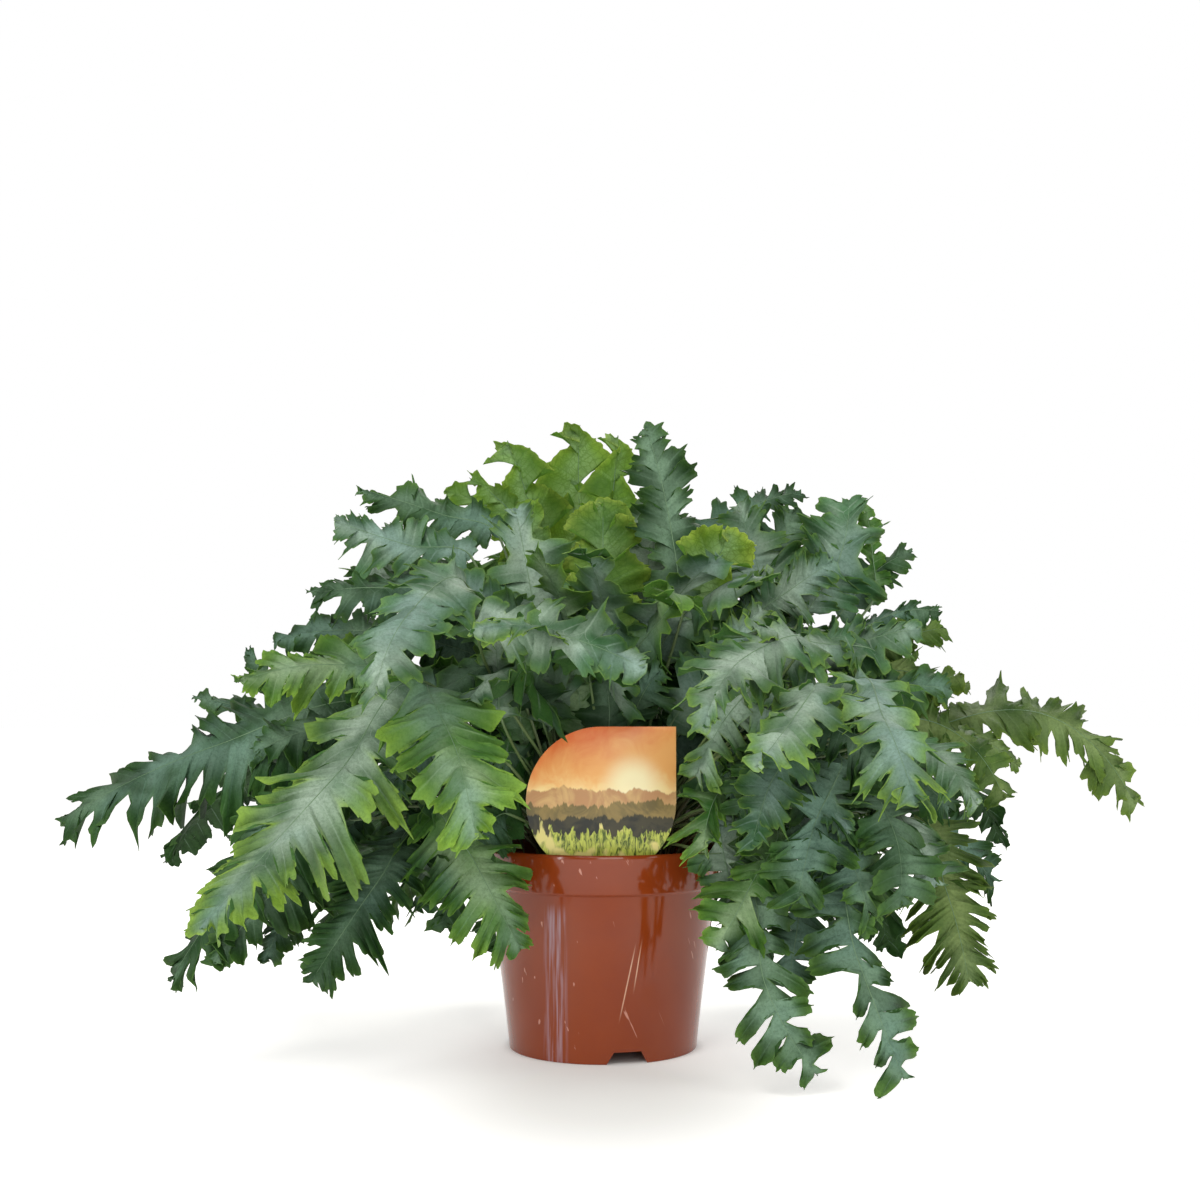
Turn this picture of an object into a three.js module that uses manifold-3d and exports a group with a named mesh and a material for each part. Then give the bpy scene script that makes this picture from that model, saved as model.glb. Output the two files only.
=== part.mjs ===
// A potted blue fern: plastic nursery pot, potting mix, creeping rhizome, picture tag and lobed fronds.
// Units are millimetres, +Z is up, the front faces -Y, and the origin is the middle of the pot's foot on the ground.
import * as THREE from "three";
import Module from "manifold-3d";

const wasm = await Module();
wasm.setup();
const { Manifold, Mesh: SolidMesh } = wasm;

// Driving dimensions
const GAP = 0.3;
const ROUND = 40;
const RIM_Z = 160;
const FLOOR_UNDER = 10;
const FLOOR_TOP = 12;
const SOIL_TOP = 140;
const NOTCH = { count: 3, first: -75.6, wide: 31.5, narrow: 21.5, height: 9.5 };
const DRAIN = { count: 6, radius: 5.5, ring: 45 };
const TAG = { x: -1.6, y: -80, z: 199.2, radius: 57.3, thick: 0.8, stakeWide: 12, stakeFoot: 85 };
const RHIZOME = { wide: 12, under: SOIL_TOP + GAP, top: SOIL_TOP + 10.3 };
const STIPE_FOOT = RHIZOME.top + GAP;
const STIPE = 3.2;
const STIPE_NECK = 2.4;
const MARGIN = 0.9;
// Each lobe runs from a notch through a rear corner to a front corner: share of the half width,
// and how far the corner leans ahead, in steps along the midrib
const LOBE_WIDTH = [0.3, 0.9, 1];
const LOBE_AHEAD = [0, 0.6, 1.5];
const LOBE_DROOP = 0.14;

// Colours
const POT_BROWN = 0x9a4630;
const SOIL_BLACK = 0x1d1712;
const RHIZOME_TAN = 0x8a5a2c;
const TAG_ORANGE = 0xe9a35e;
const DEEP = 0x3f6248;
const BLUE = 0x7d9c8c;
const PALE = 0x7fa468;
const YOUNG = 0x9cbb3f;
const OLIVE = 0x6c8a3d;

// The pot's outside from the foot up to the rim, and the inside back down: radius, height
const OUTSIDE = [
  [74.4, 0], [75, 0.8], [78.6, 33], [83, 66], [87.4, 100], [91.6, 128.6],
  [94.6, 130.2], [96, 157.6], [94.8, RIM_Z],
];
const INSIDE = [
  [93.6, 159], [92.6, 133], [89.4, 127], [85.3, 100], [80.9, 66], [76.5, 33], [72.8, FLOOR_TOP],
];

// Each arm of the rhizome creeps over the potting mix through three points: x, y
const ARMS = [
  [[-62, -34], [0, -26], [60, -36]],
  [[-66, 4], [0, -4], [66, 6]],
  [[-58, 38], [0, 30], [60, 40]],
  [[-36, -56], [-28, 0], [-38, 60]],
  [[2, -50], [-4, 0], [4, 64]],
  [[38, -56], [30, 0], [36, 58]],
];

// One row per frond: name, where its stipe stands on the rhizome (x, y), where the blade starts,
// its middle, its tip, blade width, lobes on a side, the direction the upper face looks to
// (turn from +X and height, in degrees) and the colour
const FRONDS = [
  ["left_long", [-53, 1], [-170, -10, 270], [-310, -15, 230], [-432, -20, 175], 105, 8, -100, 50, DEEP],
  ["right_long", [63, 5], [250, 20, 245], [360, 15, 265], [434, 15, 190], 75, 9, -90, 50, OLIVE],
  ["left_big", [-39, -29], [-135, -80, 290], [-190, -160, 225], [-270, -240, 125], 155, 8, -110, 35, BLUE],
  ["right_front", [48, -32], [180, -150, 290], [190, -230, 265], [200, -290, 210], 100, 6, -80, 35, BLUE],
  ["top_fan", [-3, 15], [-10, 60, 360], [-20, 80, 440], [-20, 90, 515], 105, 3, -90, 0, YOUNG],
  ["top_dark", [15, -3], [60, -20, 340], [55, -10, 415], [35, 0, 500], 110, 6, -80, 0, DEEP],
  ["low_right_a", [57, -35], [160, -120, 165], [180, -165, 95], [210, -180, 12], 85, 7, -90, 10, DEEP],
  ["low_right_b", [35, -44], [105, -120, 145], [115, -165, 75], [150, -180, 15], 80, 7, -90, 15, DEEP],
  ["left_low", [-63, 3], [-200, -50, 220], [-260, -90, 160], [-320, -110, 70], 90, 8, -130, 30, DEEP],
  ["left_low_b", [-49, -31], [-135, -70, 185], [-165, -120, 145], [-210, -150, 75], 80, 7, -110, 20, DEEP],
  ["front_left", [-29, -28], [-125, -90, 205], [-95, -120, 158], [-60, -135, 95], 100, 6, -72, 20, PALE],
  ["left_droop", [-33, -44], [-100, -110, 360], [-135, -190, 340], [-150, -270, 280], 110, 6, -90, 40, BLUE],
  ["left_tag", [-35, -53], [-125, -145, 285], [-100, -215, 240], [-84, -262, 185], 105, 5, -80, 35, PALE],
  ["right_cross", [38, -30], [145, -130, 315], [95, -210, 305], [65, -270, 260], 100, 6, -95, 40, BLUE],
  ["right_near", [37, -53], [145, -194, 285], [121, -260, 260], [96, -303, 235], 60, 4, -108, 35, BLUE],
  ["right_low", [53, 3], [240, -60, 185], [260, -80, 135], [275, -90, 65], 75, 8, -90, 10, OLIVE],
  ["right_side", [44, 1], [225, -60, 260], [275, -60, 250], [310, -60, 200], 70, 6, -90, 40, OLIVE],
  ["left_pale", [-44, -1], [-127, -33, 285], [-207, -73, 304], [-276, -97, 290], 100, 6, -82, 45, PALE],
  ["left_mid", [-34, -2], [-120, -30, 355], [-175, -40, 365], [-230, -40, 360], 75, 6, -90, 45, DEEP],
  ["left_high_a", [-24, -3], [-105, -20, 390], [-155, -25, 400], [-215, -30, 420], 70, 5, -90, 30, BLUE],
  ["left_high_b", [-28, 5], [-85, 20, 410], [-135, 20, 430], [-200, 10, 450], 75, 5, -80, 30, DEEP],
  ["left_back", [-29, 15], [-145, 40, 320], [-215, 55, 335], [-280, 60, 325], 65, 5, -90, 45, DEEP],
  ["left_spike", [-55, 37], [-220, 40, 220], [-260, 35, 270], [-295, 25, 320], 50, 5, -120, 30, DEEP],
  ["top_round", [-4, 5], [-45, 40, 360], [-60, 50, 445], [-85, 40, 505], 85, 3, -90, 10, YOUNG],
  ["top_young", [-4, -14], [0, -40, 325], [0, -30, 380], [0, -20, 435], 90, 4, -90, 5, YOUNG],
  ["top_small", [19, -27], [65, -70, 355], [80, -75, 375], [100, -75, 405], 70, 2, -90, 10, YOUNG],
  ["top_blue", [-19, -27], [-50, -50, 325], [-60, -40, 380], [-70, -30, 430], 110, 4, -90, 20, BLUE],
  ["mid_cross", [0, -26], [-10, -75, 290], [-30, -165, 325], [-90, -240, 325], 75, 5, -90, 45, BLUE],
  ["mid_up", [-28, -15], [-60, -55, 240], [-65, -65, 275], [-65, -70, 305], 70, 4, -72, 20, PALE],
  ["mid_left", [10, -26], [10, -54, 260], [3, -106, 306], [-13, -144, 338], 80, 4, -108, 25, BLUE],
  ["right_fan", [31, -15], [160, -40, 345], [185, -45, 385], [195, -40, 435], 110, 5, -80, 10, BLUE],
  ["right_up", [34, -1], [130, 3, 350], [125, 5, 390], [110, 6, 435], 110, 4, -108, 20, BLUE],
  ["right_crest", [30, 15], [85, 60, 410], [125, 70, 440], [170, 80, 455], 55, 5, -90, 40, DEEP],
  ["right_narrow", [46, 36], [222, 28, 355], [224, 30, 400], [218, 32, 440], 35, 5, -90, 0, PALE],
  ["right_out", [24, -2], [198, -22, 325], [231, -43, 345], [263, -61, 345], 75, 5, -80, 40, DEEP],
  ["right_edge", [31, 25], [240, 0, 205], [280, 0, 170], [315, 0, 130], 90, 6, -80, 20, DEEP],
  ["rim_right", [29, -29], [127, -105, 182], [106, -143, 142], [80, -156, 98], 75, 5, -90, 20, PALE],
  ["right_dark", [1, -48], [170, -120, 235], [150, -160, 185], [135, -185, 135], 105, 6, -90, 20, DEEP],
  ["near_tag", [5, -4], [105, -100, 230], [80, -150, 205], [70, -180, 170], 80, 5, -90, 20, PALE],
  ["back_left_long", [-45, 35], [-190, 60, 250], [-300, 110, 215], [-390, 150, 130], 100, 8, 120, 50, DEEP],
  ["back_right_long", [57, 39], [200, 60, 250], [290, 105, 230], [360, 160, 145], 80, 8, 60, 50, DEEP],
  ["back_left_big", [-35, 33], [-110, 120, 280], [-180, 200, 235], [-220, 265, 130], 130, 8, 110, 40, BLUE],
  ["back_right_big", [36, 34], [120, 110, 280], [195, 190, 240], [240, 250, 140], 130, 8, 70, 40, BLUE],
  ["back_left_low", [-34, 46], [-150, 110, 200], [-215, 165, 140], [-250, 200, 55], 100, 7, 130, 25, DEEP],
  ["back_right_low", [33, 45], [160, 95, 200], [225, 140, 140], [260, 175, 50], 100, 7, 50, 25, DEEP],
  ["back_mid", [5, 30], [20, 100, 330], [20, 205, 335], [20, 306, 258], 115, 7, 90, 45, BLUE],
  ["back_mid_left", [-15, 30], [-40, 110, 300], [-60, 200, 290], [-80, 290, 210], 110, 7, 90, 45, DEEP],
  ["back_mid_right", [26, 32], [80, 110, 300], [110, 200, 285], [130, 280, 200], 115, 7, 80, 40, DEEP],
  ["back_left_droop", [-25, 31], [-80, 100, 340], [-120, 190, 340], [-150, 270, 270], 110, 6, 100, 45, PALE],
  ["back_low_a", [-5, 30], [-60, 120, 200], [-80, 175, 130], [-100, 210, 40], 100, 7, 95, 15, DEEP],
  ["back_low_b", [1, 48], [20, 125, 190], [20, 180, 130], [0, 215, 45], 100, 7, 90, 15, OLIVE],
  ["back_low_c", [15, 31], [90, 120, 200], [120, 175, 130], [150, 205, 40], 100, 7, 80, 15, DEEP],
  ["back_right_high", [35, 55], [120, 60, 380], [170, 110, 400], [230, 150, 380], 90, 6, 80, 50, BLUE],
  ["back_left_high", [-15, -4], [-110, 70, 380], [-170, 120, 395], [-235, 150, 370], 90, 6, 100, 50, BLUE],
  ["back_top", [-5, -4], [10, 110, 390], [30, 170, 430], [50, 235, 430], 105, 6, 90, 60, DEEP],
  ["back_top_left", [-37, 57], [-60, 110, 380], [-80, 190, 410], [-110, 250, 380], 100, 6, 95, 55, PALE],
];

const V = (x, y, z) => new THREE.Vector3(x, y, z);
const radians = (degrees) => (degrees * Math.PI) / 180;

// A closed solid from a list of corners and a list of triangles, turned to face outward
function solidOf(corners, triangles) {
  let volume = 0;
  for (const [a, b, c] of triangles) {
    volume += corners[a].dot(V(0, 0, 0).crossVectors(corners[b], corners[c]));
  }
  const facing = volume < 0 ? triangles.map(([a, b, c]) => [a, c, b]) : triangles;
  return new Manifold(
    new SolidMesh({
      numProp: 3,
      vertProperties: new Float32Array(corners.flatMap((p) => [p.x, p.y, p.z])),
      triVerts: new Uint32Array(facing.flat()),
    }),
  );
}

// A skin over rings that all have the same number of corners, with a fan on each end
function loft(rings) {
  const n = rings[0].length;
  const corners = rings.flat();
  const triangles = [];
  for (let i = 0; i + 1 < rings.length; i++) {
    for (let k = 0; k < n; k++) {
      const a = i * n + k;
      const b = i * n + ((k + 1) % n);
      triangles.push([a, b, b + n], [a, b + n, a + n]);
    }
  }
  const last = (rings.length - 1) * n;
  for (let k = 1; k + 1 < n; k++) {
    triangles.push([0, k + 1, k], [last, last + k, last + k + 1]);
  }
  return solidOf(corners, triangles);
}

// A turned solid about the Z axis; its profile starts and ends on the axis
function turned(profile) {
  const corners = [V(0, 0, profile[0][1])];
  const triangles = [];
  const middle = profile.slice(1, -1);
  for (const [r, z] of middle) {
    for (let k = 0; k < ROUND; k++) {
      const a = (k / ROUND) * 2 * Math.PI;
      corners.push(V(r * Math.cos(a), r * Math.sin(a), z));
    }
  }
  corners.push(V(0, 0, profile[profile.length - 1][1]));
  const top = corners.length - 1;
  for (let k = 0; k < ROUND; k++) {
    const next = (k + 1) % ROUND;
    triangles.push([0, 1 + next, 1 + k]);
    for (let i = 0; i + 1 < middle.length; i++) {
      const a = 1 + i * ROUND;
      const b = a + ROUND;
      triangles.push([a + k, a + next, b + next], [a + k, b + next, b + k]);
    }
    const end = 1 + (middle.length - 1) * ROUND;
    triangles.push([end + k, end + next, top]);
  }
  return solidOf(corners, triangles);
}

// A flat outline in X and Z, given a thickness along Y about y
function plate(outline, y, thick) {
  const at = (side) => outline.map(([x, z]) => V(x, y + side * thick, z));
  const n = outline.length;
  const triangles = [];
  for (let k = 0; k < n; k++) {
    const next = (k + 1) % n;
    triangles.push([k, next, n + next], [k, n + next, n + k]);
  }
  const faces = THREE.ShapeUtils.triangulateShape(
    outline.map(([x, z]) => new THREE.Vector2(x, z)),
    [],
  );
  for (const [a, b, c] of faces) {
    triangles.push([a, c, b], [n + a, n + b, n + c]);
  }
  return solidOf([...at(-0.5), ...at(0.5)], triangles);
}

function block(x0, x1, y0, y1, z0, z1) {
  return Manifold.cube([x1 - x0, y1 - y0, z1 - z0], false).translate([x0, y0, z0]);
}

function potSolid() {
  let pot = turned([[0, FLOOR_UNDER], [71.5, FLOOR_UNDER], [72.6, 0], ...OUTSIDE, ...INSIDE, [0, FLOOR_TOP]]);
  for (let k = 0; k < NOTCH.count; k++) {
    const cut = plate(
      [[-NOTCH.wide / 2, -5], [NOTCH.wide / 2, -5], [NOTCH.wide / 2, 0], [NOTCH.narrow / 2, NOTCH.height],
        [-NOTCH.narrow / 2, NOTCH.height], [-NOTCH.wide / 2, 0]],
      -72,
      30,
    );
    pot = pot.subtract(cut.rotate([0, 0, NOTCH.first + 90 + (k * 360) / NOTCH.count]));
  }
  for (let k = 0; k < DRAIN.count; k++) {
    const a = radians((k * 360) / DRAIN.count + 30);
    const hole = Manifold.cylinder(10, DRAIN.radius, DRAIN.radius, 16, true);
    pot = pot.subtract(hole.translate([DRAIN.ring * Math.cos(a), DRAIN.ring * Math.sin(a), FLOOR_TOP - 1]));
  }
  return pot;
}

function soilSolid() {
  const inner = INSIDE.slice(1).map(([r, z]) => [r - 0.4, z]).reverse();
  inner[0] = [72.4, FLOOR_TOP + GAP];
  const mix = turned([[0, FLOOR_TOP + GAP], ...inner, [92.4, SOIL_TOP], [0, SOIL_TOP]]);
  const slotHalf = TAG.stakeWide / 2 + GAP;
  return mix.subtract(
    block(TAG.x - slotHalf, TAG.x + slotHalf, TAG.y - TAG.thick / 2 - GAP, TAG.y + TAG.thick / 2 + GAP,
      TAG.stakeFoot - GAP, SOIL_TOP + 5),
  );
}

// Three quarters of a disc and one square corner, on a stake that tapers into the potting mix
function tagSolid() {
  const outline = [];
  for (let k = 0; k <= 30; k++) {
    const a = radians(90 + (k / 30) * 270);
    outline.push([TAG.x + TAG.radius * Math.cos(a), TAG.z + TAG.radius * Math.sin(a)]);
  }
  outline.push([TAG.x + TAG.radius, TAG.z + TAG.radius]);
  const half = TAG.stakeWide / 2;
  const neck = TAG.z - TAG.radius + 6;
  const stake = plate(
    [[TAG.x - half, neck], [TAG.x - half, TAG.stakeFoot + 15], [TAG.x, TAG.stakeFoot],
      [TAG.x + half, TAG.stakeFoot + 15], [TAG.x + half, neck]],
    TAG.y,
    TAG.thick,
  );
  return plate(outline, TAG.y, TAG.thick).add(stake);
}

// A point on an arm of the rhizome, t from 0 to 1, along a curve through its three points
function armPoint([a, b, c], t) {
  const at = (i) => a[i] * (1 - t) * (1 - 2 * t) + b[i] * 4 * t * (1 - t) + c[i] * t * (2 * t - 1);
  return V(at(0), at(1), (RHIZOME.under + RHIZOME.top) / 2);
}

function rhizomeSolid() {
  let mat = null;
  for (const arm of ARMS) {
    const rings = [];
    for (let i = 0; i <= 6; i++) {
      const p = armPoint(arm, i / 6);
      const ahead = armPoint(arm, i / 6 + 0.01).sub(armPoint(arm, i / 6 - 0.01)).normalize();
      const side = V(-ahead.y, ahead.x, 0);
      const ring = [];
      for (let k = 0; k < 8; k++) {
        const a = radians(22.5 + 45 * k);
        const r = RHIZOME.wide / 2;
        ring.push(p.clone().addScaledVector(side, r * Math.cos(a)).add(V(0, 0, r * Math.sin(a))));
      }
      rings.push(ring);
    }
    const tube = loft(rings);
    mat = mat ? mat.add(tube) : tube;
  }
  return mat.intersect(block(-90, 90, -90, 90, RHIZOME.under, RHIZOME.top));
}

function hermite(a, b, ta, tb, u) {
  const u2 = u * u;
  const u3 = u2 * u;
  return V(0, 0, 0)
    .addScaledVector(a, 2 * u3 - 3 * u2 + 1)
    .addScaledVector(ta, u3 - 2 * u2 + u)
    .addScaledVector(b, 3 * u2 - 2 * u3)
    .addScaledVector(tb, u3 - u2);
}

// The stipe from its foot to the blade, and the blade's midrib, as two lists of points
function spine(foot, start, mid, tip, stipeSteps, bladeSteps) {
  const rise = start.distanceTo(foot);
  const near = mid.distanceTo(start);
  const far = tip.distanceTo(mid);
  const first = V(0, 0, 0.9 * rise).addScaledVector(start.clone().sub(foot), 0.1);
  const atStart = mid.clone().sub(foot).normalize();
  const atMid = tip.clone().sub(start).normalize();
  const atTip = tip.clone().sub(mid).multiplyScalar(2).addScaledVector(atMid, -far).normalize();
  const stipe = [];
  for (let i = 0; i < stipeSteps; i++) {
    stipe.push(hermite(foot, start, first, atStart.clone().multiplyScalar(rise), i / stipeSteps));
  }
  const fine = [];
  for (let i = 0; i <= 24; i++) {
    fine.push(hermite(start, mid, atStart.clone().multiplyScalar(near), atMid.clone().multiplyScalar(near), i / 24));
  }
  for (let i = 1; i <= 24; i++) {
    fine.push(hermite(mid, tip, atMid.clone().multiplyScalar(far), atTip.clone().multiplyScalar(far), i / 24));
  }
  const run = [0];
  for (let i = 1; i < fine.length; i++) run.push(run[i - 1] + fine[i].distanceTo(fine[i - 1]));
  const length = run[run.length - 1];
  const blade = [];
  let k = 0;
  for (let i = 0; i <= bladeSteps; i++) {
    const want = (i / bladeSteps) * length;
    while (k + 2 < run.length && run[k + 1] < want) k++;
    const part = Math.min(1, Math.max(0, (want - run[k]) / (run[k + 1] - run[k])));
    blade.push(fine[k].clone().lerp(fine[k + 1], part));
  }
  return { stipe, blade, length };
}

// The blade's half width, from 0 to 1, at s from its start to its tip
const fullness = (s) => Math.sin(Math.PI * Math.min(1, Math.max(0, s)) ** 0.75) ** 0.55 * (1 - 0.35 * s);

// One frond as one solid: a stipe that becomes the midrib of a blade cut into slanting lobes
function frondSolid(row) {
  const [, stand, start, mid, tip, width, lobes, faceTurn, faceUp] = row;
  const foot = V(...stand, STIPE_FOOT);
  const steps = 3 * lobes;
  const { stipe, blade, length } = spine(foot, V(...start), V(...mid), V(...tip), 4, steps);
  const line = [...stipe, ...blade];
  const up = radians(faceUp);
  const round = radians(faceTurn);
  const face = V(Math.cos(up) * Math.cos(round), Math.cos(up) * Math.sin(round), Math.sin(up));
  const rings = line.map((p, i) => {
    const before = line[Math.max(0, i - 1)];
    const after = line[Math.min(line.length - 1, i + 1)];
    const along = i === 0 ? V(0, 0, 1) : after.clone().sub(before).normalize();
    const side = V(0, 0, 0).crossVectors(face, along).normalize();
    const normal = V(0, 0, 0).crossVectors(along, side);
    const step = i - stipe.length;
    const s = step / steps;
    const onStipe = step <= 0;
    const thin = onStipe ? STIPE + ((STIPE_NECK - STIPE) * i) / stipe.length : STIPE_NECK - 1.1 * s;
    let half = thin / 2;
    let ahead = 0;
    let edge = thin / 2;
    if (!onStipe) {
      const corner = step % 3;
      half = Math.max(1.2, (width / 2) * fullness(s) * LOBE_WIDTH[corner]);
      ahead = (LOBE_AHEAD[corner] * length) / steps;
      edge = MARGIN;
    }
    const ring = [p.clone().addScaledVector(normal, thin / 2)];
    for (const [sign, order] of [[1, [0.5, -0.5]], [-1, [-0.5, 0.5]]]) {
      const rim = p
        .clone()
        .addScaledVector(side, sign * half)
        .addScaledVector(along, ahead)
        .addScaledVector(normal, onStipe ? 0 : -LOBE_DROOP * half);
      for (const level of order) ring.push(rim.clone().addScaledVector(normal, level * edge));
      if (sign > 0) ring.push(p.clone().addScaledVector(normal, -thin / 2));
    }
    return ring;
  });
  return loft(rings);
}

const group = new THREE.Group();

function keep(name, solid, color, roughness) {
  const mesh = solid.getMesh();
  const geometry = new THREE.BufferGeometry();
  const points = new Float32Array(mesh.numVert * 3);
  for (let i = 0; i < mesh.numVert; i++) {
    for (let k = 0; k < 3; k++) points[3 * i + k] = mesh.vertProperties[i * mesh.numProp + k];
  }
  geometry.setAttribute("position", new THREE.BufferAttribute(points, 3));
  geometry.setIndex(new THREE.BufferAttribute(new Uint32Array(mesh.triVerts), 1));
  geometry.computeVertexNormals();
  const material = new THREE.MeshStandardMaterial({ color, roughness, metalness: 0, side: THREE.FrontSide });
  const node = new THREE.Mesh(geometry, material);
  node.name = name;
  group.add(node);
}

keep("pot", potSolid(), POT_BROWN, 0.3);
keep("potting_mix", soilSolid(), SOIL_BLACK, 0.95);
keep("rhizome", rhizomeSolid(), RHIZOME_TAN, 0.9);
keep("tag", tagSolid(), TAG_ORANGE, 0.4);

for (const row of FRONDS) keep(`frond_${row[0]}`, frondSolid(row), row[9], 0.55);

export default group;
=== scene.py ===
"""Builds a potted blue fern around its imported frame, piece by piece, with a white studio around it."""

import math
import random

import bmesh
import bpy
from mathutils import Matrix, Vector, noise


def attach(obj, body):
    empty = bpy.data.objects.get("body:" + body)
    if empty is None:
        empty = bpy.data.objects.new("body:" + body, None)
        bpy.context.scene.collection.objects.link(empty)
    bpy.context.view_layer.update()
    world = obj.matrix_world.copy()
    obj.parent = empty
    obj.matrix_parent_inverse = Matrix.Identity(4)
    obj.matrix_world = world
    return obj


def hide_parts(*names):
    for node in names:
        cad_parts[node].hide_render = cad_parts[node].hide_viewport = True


bl_info = {
    "name": "Potted Blue Fern",
    "version": (1, 0, 0),
    "blender": (4, 5, 0),
    "location": "3D View > Sidebar > Blue Fern",
    "description": "Builds the fronds, pot, mix, rhizome and tag of a potted blue fern, and its studio",
    "category": "Add Mesh",
}

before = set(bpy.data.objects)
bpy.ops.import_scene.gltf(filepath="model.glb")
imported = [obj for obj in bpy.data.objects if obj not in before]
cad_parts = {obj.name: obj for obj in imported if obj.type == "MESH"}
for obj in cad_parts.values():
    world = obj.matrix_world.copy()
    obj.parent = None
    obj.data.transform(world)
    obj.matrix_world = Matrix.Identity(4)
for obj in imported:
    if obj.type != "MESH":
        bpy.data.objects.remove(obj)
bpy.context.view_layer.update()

MM = 0.001
UP = Vector((0, 0, 1))

# In metres: the radii of a rhizome arm and the dry stem, how close points are merged, the radii that
# stems close to at foot and tip, and the height at which a lobe that reaches the ground lies on it
ARM_RADIUS = 0.0052
DRY_RADIUS = 0.0008
MERGE = 0.00002
STEM_FOOT_END = 0.00003
STEM_TIP_END = 0.000005
LOWEST = 0.0015

# Steps of the lines that a frond's stipe and midrib are drawn with, and points kept of the stipe
STIPE_STEPS = 36
RIB_STEPS = 40
STIPE_POINTS = 18
RIB_STRIDE = 5

# How finely fronds are cut: those in front, those behind and the fillers, and the crown's
FRONT_DETAIL = 1.0
BACK_DETAIL = 0.75
CROWN_DETAIL = 0.5

# Heights and places that the pieces share, in millimetres
MIX_TOP = 140.0
RHIZOME_MIDDLE = 145.3
STIPE_FOOT = 149.0

# The pot's outside from foot to rim, and its inside back down: radius, height
POT_OUTSIDE = (
    (74.4, 0.0), (75.0, 0.8), (78.6, 33.0), (83.0, 66.0), (87.4, 100.0), (91.6, 128.4), (94.4, 130.2),
    (95.3, 144.0), (95.9, 153.0), (96.2, 157.0), (95.9, 159.0), (94.8, 160.0),
)
POT_INSIDE = (
    (93.8, 159.2), (93.4, 157.0), (92.6, 133.0), (89.4, 127.0), (85.3, 100.0), (80.9, 66.0), (76.5, 33.0),
    (72.8, 12.0), (0.0, 12.0),
)
FOOT_RECESS = ((0.0, 10.0), (71.0, 10.0), (72.6, 0.0))

# How far the pot's edges are rounded, and steps of its wall
POT_EDGE = 0.5
POT_STEPS = 144

# Notches in the foot: how many, the first one's turn in degrees, how far out and how deep they are
# cut, and their half width and height at the top and at the bottom
NOTCHES = 3
FIRST_NOTCH = -75.6
NOTCH_OUT = 72
NOTCH_DEEP = 30
NOTCH_TOP = (10.75, 9.5)
NOTCH_BOTTOM = (18.5, -4)

# Drain holes: how many, their radius and the radius of the ring they stand on
HOLES = 6
HOLE_RADIUS = 5.5
HOLE_RING = 45

# The mix's side, just inside the pot's wall, from its top down and in to the middle: radius, height
MIX_RADIUS = 92.3
MIX_SIDE = (
    (MIX_RADIUS, 139.0), (92.2, 133.0), (89.0, 127.2), (84.9, 100.0), (80.5, 66.0), (76.1, 33.0),
    (72.4, 12.3), (0.0, 12.3),
)
MIX_RINGS = 26
MIX_STEPS = 120

# Bark chips on the mix: how many, and how far from the middle they lie
CHIPS = 170
CHIP_REACH = 89

# Where the camera stands
CAMERA = (-2.4, -1404, 283)

# Arms of the rhizome, each through three points: x, y
ARMS = (
    ((-62, -34), (0, -26), (60, -36)),
    ((-66, 4), (0, -4), (66, 6)),
    ((-58, 38), (0, 30), (60, 40)),
    ((-36, -56), (-28, 0), (-38, 60)),
    ((2, -50), (-4, 0), (4, 64)),
    ((38, -56), (30, 0), (36, 58)),
)
ARM_STEPS = 40

# The dry stem's foot, the point that pulls it up and its tip
DRY_STEM = ((40, -55, 141), (66, -70, 176), (86, -66, 134))
DRY_STEPS = 24

# The tag's middle, radius and thickness, and its stake's foot, width, thickness and the length of its point
TAG_MIDDLE = Vector((-1.6, -80.0, 199.2))
TAG_RADIUS = 57.3
TAG_THICK = 0.8
STAKE_FOOT = 85.0
STAKE_WIDTH = 12
STAKE_THICK = 0.7
STAKE_POINT = 15

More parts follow.
